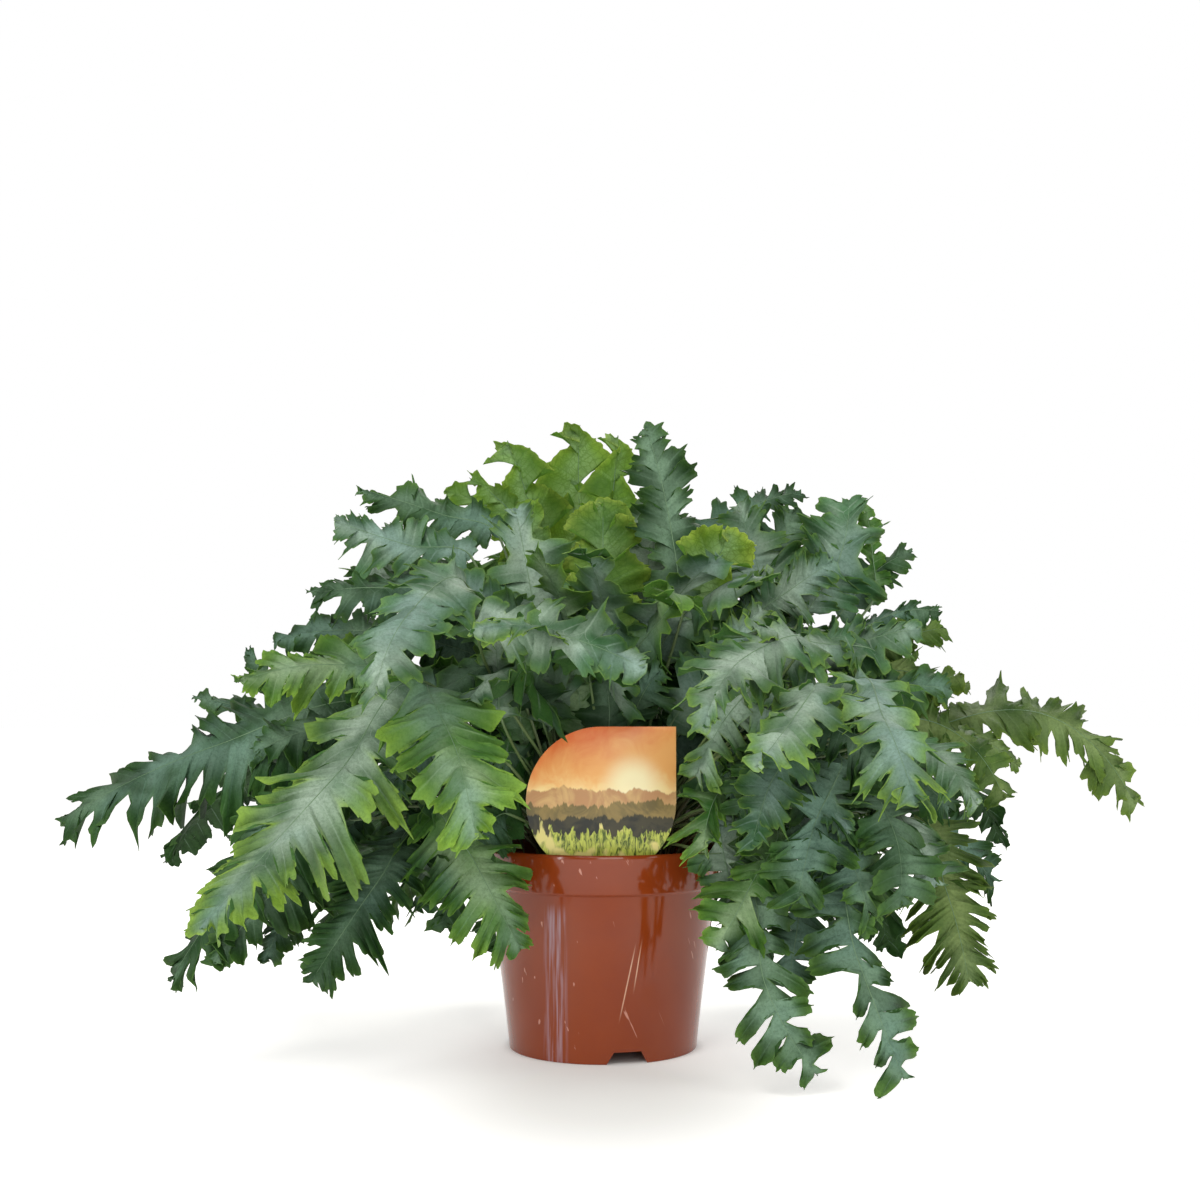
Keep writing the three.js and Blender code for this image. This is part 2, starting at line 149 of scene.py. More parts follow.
# Each frond's name, its foot's x and y, where its blade starts, the blade's middle and its tip, then
# the blade's width, its lobes on a side before its cut adds more, where its upper face looks (turn
# from +X and height, in degrees), its green and its cut
FRONDS = (
    ("left_long", (-53, 1), (-170, -10, 272), (-310, -15, 240), (-432, -20, 181),
     160, 8, -100, 45, "deep", "comb"),
    ("right_long", (63, 5), (250, 20, 245), (360, 15, 265), (434, 15, 190),
     108, 9, -90, 50, "olive", "crested"),
    ("left_big", (-39, -29), (-135, -80, 290), (-190, -160, 225), (-270, -240, 125),
     142, 8, -110, 35, "blue", "finger"),
    ("right_front", (48, -32), (180, -150, 290), (190, -230, 265), (200, -290, 210),
     100, 6, -80, 35, "blue", "spiky"),
    ("top_fan", (-3, 15), (-10, 60, 360), (-20, 80, 440), (-20, 90, 515),
     56, 3, -90, 0, "young", "fan"),
    ("top_dark", (15, -3), (60, -20, 340), (55, -10, 415), (35, 0, 500),
     92, 6, -80, 0, "deep", "crested"),
    ("low_right_a", (57, -35), (160, -120, 165), (180, -165, 95), (210, -180, 12),
     78, 7, -90, 10, "deep", "frilled"),
    ("low_right_b", (35, -44), (105, -120, 145), (115, -165, 75), (150, -180, 15),
     74, 7, -90, 15, "deep", "frilled"),
    ("left_low", (-63, 3), (-200, -50, 220), (-260, -90, 160), (-320, -110, 70),
     112, 8, -130, 30, "deep", "comb"),
    ("left_low_b", (-49, -31), (-135, -70, 185), (-165, -120, 145), (-210, -150, 75),
     90, 7, -110, 20, "deep", "comb"),
    ("front_left", (-29, -28), (-125, -90, 205), (-95, -120, 158), (-60, -135, 95),
     100, 6, -72, 20, "pale", "finger"),
    ("left_droop", (-33, -44), (-100, -110, 360), (-135, -190, 340), (-150, -270, 280),
     110, 6, -90, 40, "blue", "spiky"),
    ("left_tag", (-35, -53), (-125, -145, 285), (-100, -215, 240), (-84, -262, 185),
     105, 5, -80, 35, "pale", "finger"),
    ("right_cross", (38, -30), (145, -130, 315), (95, -210, 305), (65, -270, 260),
     100, 6, -95, 40, "blue", "spiky"),
    ("right_near", (37, -53), (145, -194, 285), (121, -260, 260), (96, -303, 235),
     60, 4, -108, 35, "blue", "spiky"),
    ("right_low", (53, 3), (240, -60, 185), (260, -80, 135), (275, -90, 65),
     96, 8, -90, 10, "olive", "comb"),
    ("right_side", (44, 1), (225, -60, 260), (275, -60, 250), (310, -60, 200),
     54, 6, -90, 40, "olive", "frilled"),
    ("left_pale", (-44, -1), (-127, -33, 285), (-207, -73, 304), (-276, -97, 290),
     100, 6, -82, 45, "pale", "finger"),
    ("left_mid", (-34, -2), (-120, -30, 355), (-175, -40, 365), (-230, -40, 360),
     90, 6, -90, 45, "deep", "spiky"),
    ("left_high_a", (-24, -3), (-105, -20, 390), (-155, -25, 400), (-215, -30, 420),
     80, 5, -90, 30, "blue", "spiky"),
    ("left_high_b", (-28, 5), (-85, 20, 410), (-135, 20, 430), (-200, 10, 450),
     75, 5, -80, 30, "deep", "spiky"),
    ("left_back", (-29, 15), (-145, 40, 320), (-215, 55, 335), (-280, 60, 325),
     76, 5, -90, 45, "deep", "spiky"),
    ("left_spike", (-55, 37), (-220, 40, 220), (-260, 35, 270), (-295, 25, 320),
     50, 5, -120, 30, "deep", "spiky"),
    ("top_round", (-4, 5), (-45, 40, 360), (-62, 50, 440), (-80, 40, 494),
     54, 3, -90, 10, "young", "fan"),
    ("top_young", (-4, -14), (0, -40, 325), (0, -30, 380), (0, -20, 435),
     66, 4, -90, 5, "young", "fan"),
    ("top_small", (19, -27), (65, -70, 355), (80, -75, 375), (100, -75, 405),
     54, 2, -90, 10, "young", "fan"),
    ("top_blue", (-19, -27), (-50, -50, 325), (-60, -40, 380), (-70, -30, 430),
     110, 4, -90, 20, "blue", "spiky"),
    ("mid_cross", (0, -26), (-10, -75, 290), (-30, -165, 325), (-90, -240, 325),
     62, 5, -90, 45, "blue", "spiky"),
    ("mid_up", (-28, -15), (-60, -55, 240), (-65, -65, 275), (-65, -70, 305),
     70, 4, -72, 20, "pale", "spiky"),
    ("mid_left", (10, -26), (10, -54, 260), (3, -106, 306), (-13, -144, 338),
     64, 4, -108, 25, "blue", "spiky"),
    ("right_fan", (31, -15), (160, -40, 345), (185, -45, 385), (195, -40, 435),
     110, 5, -80, 10, "blue", "spiky"),
    ("right_up", (34, -1), (130, 3, 350), (125, 5, 390), (110, 6, 435),
     110, 4, -108, 20, "blue", "spiky"),
    ("right_crest", (30, 15), (85, 60, 410), (125, 70, 440), (170, 80, 455),
     66, 5, -90, 40, "deep", "spiky"),
    ("right_narrow", (46, 36), (222, 28, 355), (224, 30, 400), (218, 32, 440),
     30, 5, -90, 0, "pale", "frilled"),
    ("right_out", (24, -2), (198, -22, 325), (231, -43, 345), (263, -61, 345),
     54, 5, -80, 40, "deep", "spiky"),
    ("right_edge", (31, 25), (240, 0, 205), (280, 0, 170), (315, 0, 130),
     76, 6, -80, 20, "deep", "frilled"),
    ("rim_right", (29, -29), (127, -105, 182), (106, -143, 142), (80, -156, 98),
     75, 5, -90, 20, "pale", "frilled"),
    ("right_dark", (1, -48), (170, -120, 235), (150, -160, 185), (135, -185, 135),
     88, 6, -90, 20, "deep", "frilled"),
    ("near_tag", (5, -4), (105, -100, 230), (80, -150, 205), (70, -180, 170),
     60, 5, -90, 20, "pale", "frilled"),
    ("back_left_long", (-45, 35), (-190, 60, 250), (-300, 110, 215), (-390, 150, 130),
     100, 8, 120, 50, "deep", "finger"),
    ("back_right_long", (57, 39), (200, 60, 250), (290, 105, 230), (360, 160, 145),
     66, 8, 60, 50, "deep", "finger"),
    ("back_left_big", (-35, 33), (-110, 120, 280), (-180, 200, 235), (-220, 265, 130),
     130, 8, 110, 40, "blue", "spiky"),
    ("back_right_big", (36, 34), (120, 110, 280), (195, 190, 240), (240, 250, 140),
     130, 8, 70, 40, "blue", "finger"),
    ("back_left_low", (-34, 46), (-150, 110, 200), (-215, 165, 140), (-250, 200, 55),
     100, 7, 130, 25, "deep", "finger"),
    ("back_right_low", (33, 45), (160, 95, 200), (225, 140, 140), (260, 175, 50),
     100, 7, 50, 25, "deep", "finger"),
    ("back_mid", (5, 30), (20, 100, 330), (20, 205, 335), (20, 306, 258),
     115, 7, 90, 45, "blue", "spiky"),
    ("back_mid_left", (-15, 30), (-40, 110, 300), (-60, 200, 290), (-80, 290, 210),
     110, 7, 90, 45, "deep", "finger"),
    ("back_mid_right", (26, 32), (80, 110, 300), (110, 200, 285), (130, 280, 200),
     115, 7, 80, 40, "deep", "finger"),
    ("back_left_droop", (-25, 31), (-80, 100, 340), (-120, 190, 340), (-150, 270, 270),
     110, 6, 100, 45, "pale", "spiky"),
    ("back_low_a", (-5, 30), (-60, 120, 200), (-80, 175, 130), (-100, 210, 40),
     100, 7, 95, 15, "deep", "finger"),
    ("back_low_b", (1, 48), (20, 125, 190), (20, 180, 130), (0, 215, 45),
     100, 7, 90, 15, "olive", "finger"),
    ("back_low_c", (15, 31), (90, 120, 200), (120, 175, 130), (150, 205, 40),
     100, 7, 80, 15, "deep", "finger"),
    ("back_right_high", (35, 55), (120, 60, 380), (170, 110, 400), (230, 150, 380),
     90, 6, 80, 50, "blue", "spiky"),
    ("back_left_high", (-15, -4), (-110, 70, 380), (-170, 120, 395), (-235, 150, 370),
     90, 6, 100, 50, "blue", "spiky"),
    ("back_top", (-5, -4), (10, 110, 390), (30, 170, 430), (50, 235, 430),
     105, 6, 90, 60, "deep", "finger"),
    ("back_top_left", (-37, 57), (-60, 110, 380), (-80, 190, 410), (-110, 250, 380),
     100, 6, 95, 55, "pale", "spiky"),
)

# Smaller fronds that fill the crown between the others, in the same order
FILLERS = (
    ("left_low_c", (-45, -30), (-185, -10, 190), (-230, -50, 135), (-260, -70, 75),
     65, 7, -100, 20, "deep", "finger"),
    ("left_under", (-33, -50), (-95, -60, 205), (-110, -90, 155), (-120, -100, 105),
     85, 6, -90, 10, "deep", "spiky"),
    ("low_mid", (35, -40), (155, -80, 165), (145, -110, 115), (135, -120, 65),
     75, 6, -90, 10, "deep", "frilled"),
    ("near_tag_b", (33, -20), (135, -130, 240), (115, -190, 215), (100, -220, 175),
     65, 5, -90, 25, "blue", "spiky"),
    ("right_top", (31, -8), (205, -90, 305), (150, -140, 320), (105, -180, 330),
     75, 5, -90, 45, "blue", "spiky"),
    ("left_back_b", (-30, 20), (-215, 80, 240), (-295, 90, 265), (-355, 95, 280),
     60, 5, -100, 50, "deep", "spiky"),
    ("top_back", (-3, 22), (-65, 100, 410), (-100, 110, 445), (-140, 115, 460),
     55, 3, -90, 20, "young", "spiky"),
    ("mid_up_b", (-3, -30), (0, -60, 225), (5, -65, 265), (0, -65, 300),
     60, 3, -90, 10, "deep", "spiky"),
    ("right_out_a", (33, 10), (195, 30, 345), (230, 40, 385), (260, 40, 400),
     65, 4, -80, 30, "deep", "spiky"),
    ("right_olive", (50, 4), (245, 60, 260), (275, 60, 280), (310, 60, 290),
     50, 4, -90, 40, "olive", "spiky"),
    ("right_side_b", (50, -30), (215, -100, 240), (245, -130, 235), (270, -150, 200),
     65, 5, -90, 40, "blue", "spiky"),
    ("right_fill_a", (31, 6), (85, -20, 310), (125, -25, 345), (165, -30, 375),
     80, 5, -90, 25, "deep", "spiky"),
    ("right_fill_b", (33, 10), (140, -30, 300), (185, -40, 320), (225, -50, 330),
     75, 5, -90, 35, "blue", "spiky"),
    ("right_fill_c", (50, 4), (200, 10, 300), (240, 10, 325), (280, 5, 335),
     65, 5, -90, 35, "olive", "spiky"),
    ("top_young_b", (0, 15), (0, 40, 380), (8, 45, 445), (13, 50, 500),
     42, 3, -90, 5, "young", "fan"),
    ("left_low_d", (-50, -25), (-190, -70, 185), (-240, -105, 140), (-285, -130, 85),
     80, 6, -110, 20, "deep", "finger"),
    ("tag_right_a", (33, -20), (70, -70, 225), (95, -100, 215), (120, -120, 180),
     75, 5, -80, 25, "deep", "spiky"),
    ("tag_right_b", (38, -30), (80, -85, 195), (90, -110, 160), (95, -125, 125),
     70, 5, -90, 15, "blue", "frilled"),
    ("tag_right_c", (45, -10), (120, -100, 225), (150, -135, 215), (175, -155, 180),
     80, 5, -80, 30, "blue", "spiky"),
    ("tag_right_d", (50, -20), (130, -90, 190), (165, -120, 165), (190, -135, 120),
     80, 5, -80, 20, "deep", "frilled"),
    ("tag_left_a", (-30, -20), (-60, -60, 230), (-85, -85, 235), (-115, -100, 215),
     75, 5, -100, 25, "deep", "spiky"),
    ("tag_left_b", (-33, -50), (-72, -80, 190), (-92, -105, 175), (-112, -120, 140),
     70, 5, -95, 20, "deep", "finger"),
    ("tag_left_c", (-45, -30), (-110, -80, 240), (-140, -110, 235), (-170, -125, 200),
     75, 5, -100, 30, "blue", "spiky"),
    ("right_fill_d", (31, 6), (115, 20, 350), (140, 25, 395), (160, 25, 435),
     85, 5, -90, 15, "deep", "spiky"),
    ("right_fill_e", (50, -10), (190, -40, 290), (225, -50, 300), (262, -55, 290),
     70, 5, -90, 30, "olive", "spiky"),
    ("top_young_c", (-4, 5), (-50, 40, 395), (-78, 40, 435), (-112, 35, 462),
     60, 3, -90, 10, "young", "spiky"),
    ("left_fill_a", (-45, 5), (-150, 10, 250), (-215, 5, 245), (-285, 0, 205),
     95, 6, -95, 35, "deep", "spiky"),
    ("left_fill_b", (-33, 12), (-90, 30, 300), (-140, 30, 325), (-190, 25, 335),
     80, 5, -90, 30, "deep", "spiky"),
    ("left_fill_c", (-30, 12), (-110, 25, 345), (-155, 25, 370), (-200, 20, 385),
     80, 5, -90, 30, "blue", "spiky"),
    ("left_fill_d", (-35, 12), (-160, 25, 290), (-205, 25, 305), (-255, 20, 300),
     75, 5, -90, 35, "pale", "spiky"),
    ("left_fill_e", (-45, 5), (-180, -20, 255), (-225, -30, 255), (-275, -35, 235),
     80, 5, -95, 35, "deep", "spiky"),
    ("right_mass_a", (38, -20), (115, -80, 290), (150, -105, 315), (185, -120, 325),
     75, 5, -85, 35, "blue", "spiky"),
    ("right_mass_b", (45, -20), (160, -70, 300), (200, -90, 322), (240, -100, 330),
     75, 5, -85, 35, "blue", "spiky"),
    ("right_mass_c", (45, -20), (170, -80, 265), (215, -100, 285), (260, -110, 285),
     75, 5, -80, 35, "deep", "spiky"),
    ("right_mass_d", (38, -30), (110, -105, 260), (150, -130, 280), (190, -145, 285),
     80, 5, -85, 30, "blue", "spiky"),
    ("right_mass_e", (38, -30), (100, -95, 250), (130, -120, 250), (155, -140, 235),
     75, 5, -90, 25, "deep", "spiky"),
    ("right_mass_f", (50, -20), (185, -90, 235), (225, -110, 225), (255, -125, 195),
     80, 5, -80, 30, "deep", "spiky"),
    ("right_mass_g", (30, -20), (75, -70, 290), (95, -95, 320), (120, -110, 345),
     75, 5, -90, 25, "blue", "spiky"),
    ("right_mass_h", (30, -10), (120, -30, 340), (150, -45, 365), (180, -55, 385),
     75, 5, -85, 25, "blue", "spiky"),
    ("right_core_a", (45, 20), (120, 30, 180), (165, 35, 205), (215, 35, 210),
     85, 5, -90, 20, "deep", "spiky"),
    ("right_core_b", (45, 20), (130, 30, 225), (180, 35, 250), (235, 30, 255),
     85, 5, -90, 20, "deep", "spiky"),
    ("right_low_b", (45, -15), (150, -110, 205), (175, -145, 170), (190, -160, 120),
     75, 6, -85, 15, "deep", "frilled"),
    ("right_low_c", (45, -10), (195, -80, 215), (225, -110, 185), (245, -125, 140),
     75, 6, -85, 15, "blue", "frilled"),
    ("right_long_b", (55, 0), (235, -10, 272), (262, -12, 290), (290, -12, 296),
     44, 3, -90, 35, "olive", "frilled"),
    ("right_long_c", (55, 0), (235, -5, 250), (290, -10, 250), (335, -10, 222),
     60, 5, -90, 45, "olive", "crested"),
    ("core_a", (5, -4), (35, -20, 205), (70, -30, 235), (105, -40, 240),
     85, 5, -90, 15, "deep", "spiky"),
    ("core_b", (-10, -5), (-40, -25, 205), (-72, -35, 230), (-105, -45, 235),
     85, 5, -90, 15, "deep", "spiky"),
    ("core_c", (15, 0), (20, -10, 215), (15, -25, 260), (5, -40, 300),
     85, 5, -90, 15, "deep", "spiky"),
    ("core_d", (30, 0), (60, 5, 230), (85, 5, 270), (105, 0, 310),
     85, 5, -90, 15, "deep", "spiky"),
    ("core_e", (-30, 0), (-60, 5, 230), (-80, 5, 270), (-100, 0, 310),
     85, 5, -90, 15, "deep", "spiky"),
    ("core_f", (-15, 10), (-5, 15, 190), (-18, 15, 235), (-35, 10, 285),
     90, 5, -90, 10, "deep", "spiky"),
    ("core_g", (20, 20), (100, 10, 215), (140, 5, 245), (175, 0, 265),
     85, 5, -90, 20, "deep", "spiky"),
    ("core_h", (-25, 20), (-100, 10, 215), (-140, 5, 245), (-175, 0, 265),
     85, 5, -90, 20, "deep", "spiky"),
    ("tag_top_a", (0, -20), (20, -50, 250), (30, -70, 280), (45, -85, 300),
     70, 4, -85, 25, "deep", "spiky"),
    ("tag_top_b", (-10, -25), (-25, -50, 255), (-35, -70, 285), (-50, -85, 305),
     70, 4, -95, 25, "blue", "spiky"),
    ("tag_right_e", (38, -30), (95, -110, 272), (120, -138, 270), (150, -155, 250),
     80, 5, -85, 30, "blue", "spiky"),
    ("tag_right_f", (38, -30), (96, -108, 248), (118, -136, 238), (136, -152, 205),
     64, 5, -90, 25, "deep", "frilled"),
    ("tag_right_g", (45, -20), (140, -120, 262), (165, -145, 258), (195, -160, 235),
     78, 5, -85, 30, "deep", "frilled"),
    ("tag_right_h", (38, -30), (112, -118, 285), (88, -140, 262), (66, -158, 222),
     70, 5, -85, 25, "blue", "frilled"),
    ("tag_right_i", (42, -26), (135, -125, 262), (118, -150, 232), (96, -165, 196),
     66, 5, -85, 20, "deep", "frilled"),
    ("top_dark_b", (15, -3), (34, 12, 332), (38, 16, 395), (44, 16, 450),
     84, 5, -90, 10, "blue", "spiky"),
    ("mid_cross_b", (-19, -27), (-92, -150, 326), (-40, -175, 326), (30, -190, 298),
     84, 5, -85, 20, "blue", "spiky"),
    ("mid_up_c", (0, -20), (-15, -50, 240), (-18, -58, 274), (-22, -60, 312),
     74, 4, -88, 10, "pale", "spiky"),
    ("mid_left_b", (-33, -15), (-76, -106, 262), (-78, -122, 298), (-80, -130, 328),
     54, 4, -95, 15, "blue", "spiky"),
    ("right_dark_b", (36, -50), (185, -90, 215), (210, -140, 185), (210, -170, 130),
     85, 6, -80, 20, "deep", "frilled"),
)

# Layers of small fronds that stand all round inside the crown: how many, then radius and height of
# where the blade starts, its middle and its tip, blade width, lobes, and how far from the front
# they stay, in degrees, so that the tag and the pot show
LAYERS = (
    (12, (35, 275), (75, 345), (125, 385), 90, 4, 0),
    (13, (60, 290), (120, 345), (185, 345), 85, 4, 14),
    (18, (75, 255), (130, 300), (190, 275), 90, 5, 26),
    (17, (70, 205), (125, 225), (180, 175), 85, 5, 40),
    (12, (98, 190), (146, 166), (184, 108), 76, 5, 58),
)

# How the lobes of each cut are shaped. First line: how many times the row's count of lobes there
# are, columns to a lobe, rows to a side, the share of the half width that stays whole beside the
# midrib, how blunt the blade's ends are and how much it narrows. Second line: the lobes' lean at the
# blade's base and tip and how far one may stray from it, in degrees, the shortest one's reach, how
# much they bend and twist, and how full they are. Third line: how tapered, swollen and round a lobe
# is, how many points it may have, how deep the notches between them are, and the size of its teeth
CUTS = {
    "finger": dict(
        more=1.6, columns=20, rows=6, whole=0.34, blunt=0.45, narrow=0.35,
        lean=(4, 46), stray=13, short=0.75, curl=1.3, fill=0.52,
        taper=5.0, swell=1.1, round=0.5, points=(3, 5, 5, 4), depth=0.2, teeth=0.04,
    ),
    "comb": dict(
        more=2.3, columns=12, rows=6, whole=0.36, blunt=0.46, narrow=0.3,
        lean=(4, 46), stray=13, short=0.75, curl=1.1, fill=0.62,
        taper=3.6, swell=0.8, round=0.6, points=(3, 1, 3, 2), depth=0.22, teeth=0.05,
    ),
    "spiky": dict(
        more=1.5, columns=16, rows=6, whole=0.3, blunt=0.42, narrow=0.35,
        lean=(6, 48), stray=27, short=0.7, curl=1.0, fill=0.8,
        taper=2.3, swell=0.75, round=0.7, points=(3, 3, 5, 2), depth=0.42, teeth=0.07,
    ),
    "crested": dict(
        more=1.7, columns=16, rows=6, whole=0.26, blunt=0.42, narrow=0.35,
        lean=(6, 45), stray=20, short=0.7, curl=1.0, fill=0.86,
        taper=2.6, swell=0.7, round=0.7, points=(3, 3, 4), depth=0.4, teeth=0.1,
    ),
    "frilled": dict(
        more=1.3, columns=18, rows=6, whole=0.1, blunt=0.24, narrow=0.12,
        lean=(0, 34), stray=34, short=0.6, curl=1.7, fill=0.29,
        taper=4.0, swell=2.3, round=0.45, points=(5, 5, 3, 5), depth=0.2, teeth=0.05,
    ),
    "fan": dict(
        more=1.0, columns=30, rows=9, whole=0.5, blunt=0.3, narrow=0.1,
        lean=(34, 50), stray=9, short=0.75, curl=0.8, fill=0.95,
        taper=3.4, swell=0.8, round=0.5, points=(9, 11), depth=0.1, teeth=0.03,
    ),
}

# How yellow the lobe tips of some fronds are; every other frond draws a number from 0 to 0.5
TIPPED = {
    "left_big": 1.25, "left_tag": 0.9, "left_pale": 0.8, "right_front": 0.8, "front_left": 0.4,
    "rim_right": 0.3, "low_right_a": 0.9, "low_right_b": 0.8, "right_low_b": 0.6, "tag_right_f": 0.5,
    "tag_right_h": 0.6, "top_small": 0.8, "top_young": 0.7, "mid_cross": 0.5, "right_cross": 0.4,
    "right_near": 0.5,
}

# How many times the usual bloom some fronds have
BLOOMED = {
    "mid_cross_b": 1.5, "mid_up_c": 1.3, "mid_left_b": 1.5, "mid_left": 1.4, "top_blue": 1.3,
    "top_dark_b": 1.5, "top_dark": 1.5, "top_fan": 1.6, "top_round": 1.2, "top_young": 1.2,
    "top_small": 1.3, "low_right_a": 2.4, "low_right_b": 2.4, "right_front": 1.3, "left_droop": 1.3,
    "right_cross": 1.3, "right_dark": 1.4, "rim_right": 1.3, "right_low_b": 1.5, "right_low_c": 1.4,
    "tag_right_b": 1.4, "tag_right_d": 1.4,
}

# Five greens: shade, middle, bloom, margin and underside, as display colours from 0 to 255
GREENS = {
    "deep": ((14, 46, 12), (44, 84, 38), (116, 146, 118), (96, 136, 54), (50, 88, 34)),
    "blue": ((26, 68, 28), (73, 115, 76), (168, 188, 168), (144, 178, 66), (70, 110, 48)),
    "pale": ((32, 80, 18), (84, 128, 55), (152, 176, 134), (142, 178, 62), (82, 122, 46)),
    "young": ((40, 92, 18), (130, 178, 60), (156, 190, 132), (212, 230, 104), (108, 154, 52)),
    "olive": ((28, 62, 12), (82, 112, 38), (132, 152, 90), (140, 164, 58), (78, 108, 38)),
}

# How much light each green lets through, how strongly its veins show and how blue its bloom is
LEAF_LOOKS = {
    "deep": (0.16, 0.07, 0.35),
    "blue": (0.16, 0.07, 0.55),
    "pale": (0.16, 0.07, 0.55),
    "young": (0.52, 0.45, 0.0),
    "olive": (0.16, 0.07, 0.1),
}


def at(x, y, z):
    """A point given in millimetres, in metres."""
    return Vector((x * MM, y * MM, z * MM))


def display(red, green, blue):
    """A display colour from 0 to 255 as a linear colour with alpha."""
    linear = [((c / 255 + 0.055) / 1.055) ** 2.4 if c > 10 else c / 255 / 12.92 for c in (red, green, blue)]
    return (*linear, 1.0)


def smooth(low, high, value):
    """A soft step from 0 at low to 1 at high, where low may be the larger of the two."""
    share = min(1.0, max(0.0, (value - low) / (high - low)))
    return share * share * (3 - 2 * share)


def blank(name):
    """An empty mesh object in the scene, and the bmesh that will fill it."""
    piece = bpy.data.objects.new(name, bpy.data.meshes.new(name))
    bpy.context.scene.collection.objects.link(piece)
    return piece, bmesh.new()


def fill(piece, shape, *finishes, sharp=50):
    """Gives the piece its shape and its materials, smooth except at edges sharper than that angle."""
    limit = math.radians(sharp)
    for face in shape.faces:
        face.smooth = True
    for edge in shape.edges:
        edge.smooth = len(edge.link_faces) == 2 and edge.calc_face_angle() < limit
    shape.to_mesh(piece.data)
    shape.free()
    for finish in finishes:
        piece.data.materials.append(finish)
    return piece


def settle(piece, slot, *nodes):
    """Rides the piece on the one body and hides the frame's nodes that it stands for; the slot it is given is
    not used.
    """
    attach(piece, "root")
    if nodes:
        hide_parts(*nodes)


class Nodes:
    """Short words for putting a material together."""

    def __init__(self, name):
        self.material = bpy.data.materials.new(name)
        self.material.use_nodes = True
        self.tree = self.material.node_tree
        self.shader = self.tree.nodes["Principled BSDF"]
        self.output = self.tree.nodes["Material Output"]

    def add(self, kind, **settings):
        node = self.tree.nodes.new(kind)
        for key, value in settings.items():
            setattr(node, key, value)
        return node

    def join(self, source, target):
        self.tree.links.new(source, target)

    def put(self, target, value):
        if isinstance(value, bpy.types.NodeSocket):
            self.join(value, target)
        else:
            target.default_value = value

    def feed(self, node, **inputs):
        for key, value in inputs.items():
            self.put(node.inputs[key.replace("_", " ")], value)

    def finish(self, colour, normal, **settings):
        """Gives the shader its colour, its surface and its other settings."""
        self.feed(self.shader, Base_Color=colour, Normal=normal, **settings)
        return self.material

    def math(self, operation, first, second=0.0, clamp=False):
        node = self.add("ShaderNodeMath", operation=operation, use_clamp=clamp)
        self.put(node.inputs[0], first)
        self.put(node.inputs[1], second)
        return node.outputs[0]

    def plus(self, first, second, clamp=False):
        return self.math("ADD", first, second, clamp)

    def minus(self, first, second):
        return self.math("SUBTRACT", first, second)

    def times(self, first, second):
        return self.math("MULTIPLY", first, second)

    def step(self, value, low, high, start=0.0, end=1.0):
        node = self.add("ShaderNodeMapRange", interpolation_type="SMOOTHSTEP")
        self.feed(node, Value=value, From_Min=low, From_Max=high, To_Min=start, To_Max=end)
        return node.outputs[0]

    def mix(self, share, first, second):
        node = self.add("ShaderNodeMix", data_type="RGBA")
        self.put(node.inputs[0], share)
        self.put(node.inputs[6], first)
        self.put(node.inputs[7], second)
        return node.outputs[2]

    def noise(self, where, scale, detail=3.0, rough=0.5, bend=0.0):
        node = self.add("ShaderNodeTexNoise")
        self.feed(node, Vector=where, Scale=scale, Detail=detail, Roughness=rough, Distortion=bend)
        return node.outputs["Fac"]

    def place(self):
        return self.add("ShaderNodeTexCoord").outputs["Object"]

    def attribute(self, name, output):
        return self.add("ShaderNodeAttribute", attribute_name=name).outputs[output]

    def parts(self, vector):
        node = self.add("ShaderNodeSeparateXYZ")
        self.put(node.inputs[0], vector)
        return node.outputs

    def bump(self, height, depth, strength=1.0):
        node = self.add("ShaderNodeBump")
        self.feed(node, Height=height, Distance=depth, Strength=strength)
        return node.outputs[0]


def hermite(start, end, leave, reach, share):
    """A point of the curve between two ends that leaves and reaches them along two given ways."""
    two = share * share
    three = two * share
    return (
        start * (2 * three - 3 * two + 1) + leave * (three - 2 * two + share)
        + end * (3 * two - 2 * three) + reach * (three - two)
    )


def through(a, b, c, share):
    """A point of the curve that runs from a through b to c."""
    return a * (1 - share) * (1 - 2 * share) + b * 4 * share * (1 - share) + c * share * (2 * share - 1)


def even(points, count):
    """The same line with count points an even step apart, and its length."""
    runs = [0.0]
    for before, after in zip(points, points[1:]):
        runs.append(runs[-1] + (after - before).length)
    line = []
    k = 0
    for i in range(count):
        want = runs[-1] * i / (count - 1)
        while k + 2 < len(runs) and runs[k + 1] < want:
            k += 1
        share = min(1.0, max(0.0, (want - runs[k]) / (runs[k + 1] - runs[k])))
        line.append(points[k].lerp(points[k + 1], share))
    return line, runs[-1]


def frond_lines(foot, start, mid, tip, columns):
    """The stipe from its foot to the blade, and the midrib with one point to a column."""
    rise = (start - foot).length
    near = (mid - start).length
    far = (tip - mid).length
    first = Vector((0, 0, 0.9 * rise)) + (start - foot) * 0.1
    at_start = (mid - foot).normalized()
    at_mid = (tip - start).normalized()
    at_tip = ((tip - mid) * 2 - at_mid * far).normalized()
    stipe = [hermite(foot, start, first, at_start * rise, i / STIPE_STEPS) for i in range(STIPE_STEPS + 1)]
    shares = [i / RIB_STEPS for i in range(RIB_STEPS + 1)]
    rib = [hermite(start, mid, at_start * near, at_mid * near, share) for share in shares]
    rib += [hermite(mid, tip, at_mid * far, at_tip * far, share) for share in shares[1:]]
    stipe, _ = even(stipe, STIPE_POINTS)
    rib, length = even(rib, columns + 1)
    return stipe, rib, length


def frames_along(line, face, curl=0.0):
    """For each point of a line: the way ahead, the way to the left of it and the upper face's way."""
    frames = []
    for i in range(len(line)):
        ahead = (line[min(len(line) - 1, i + 1)] - line[max(0, i - 1)]).normalized()
        side = (Matrix.Rotation(curl * (i / len(line) - 0.4), 3, ahead) @ face).cross(ahead).normalized()
        frames.append((ahead, side, ahead.cross(side)))
    return frames


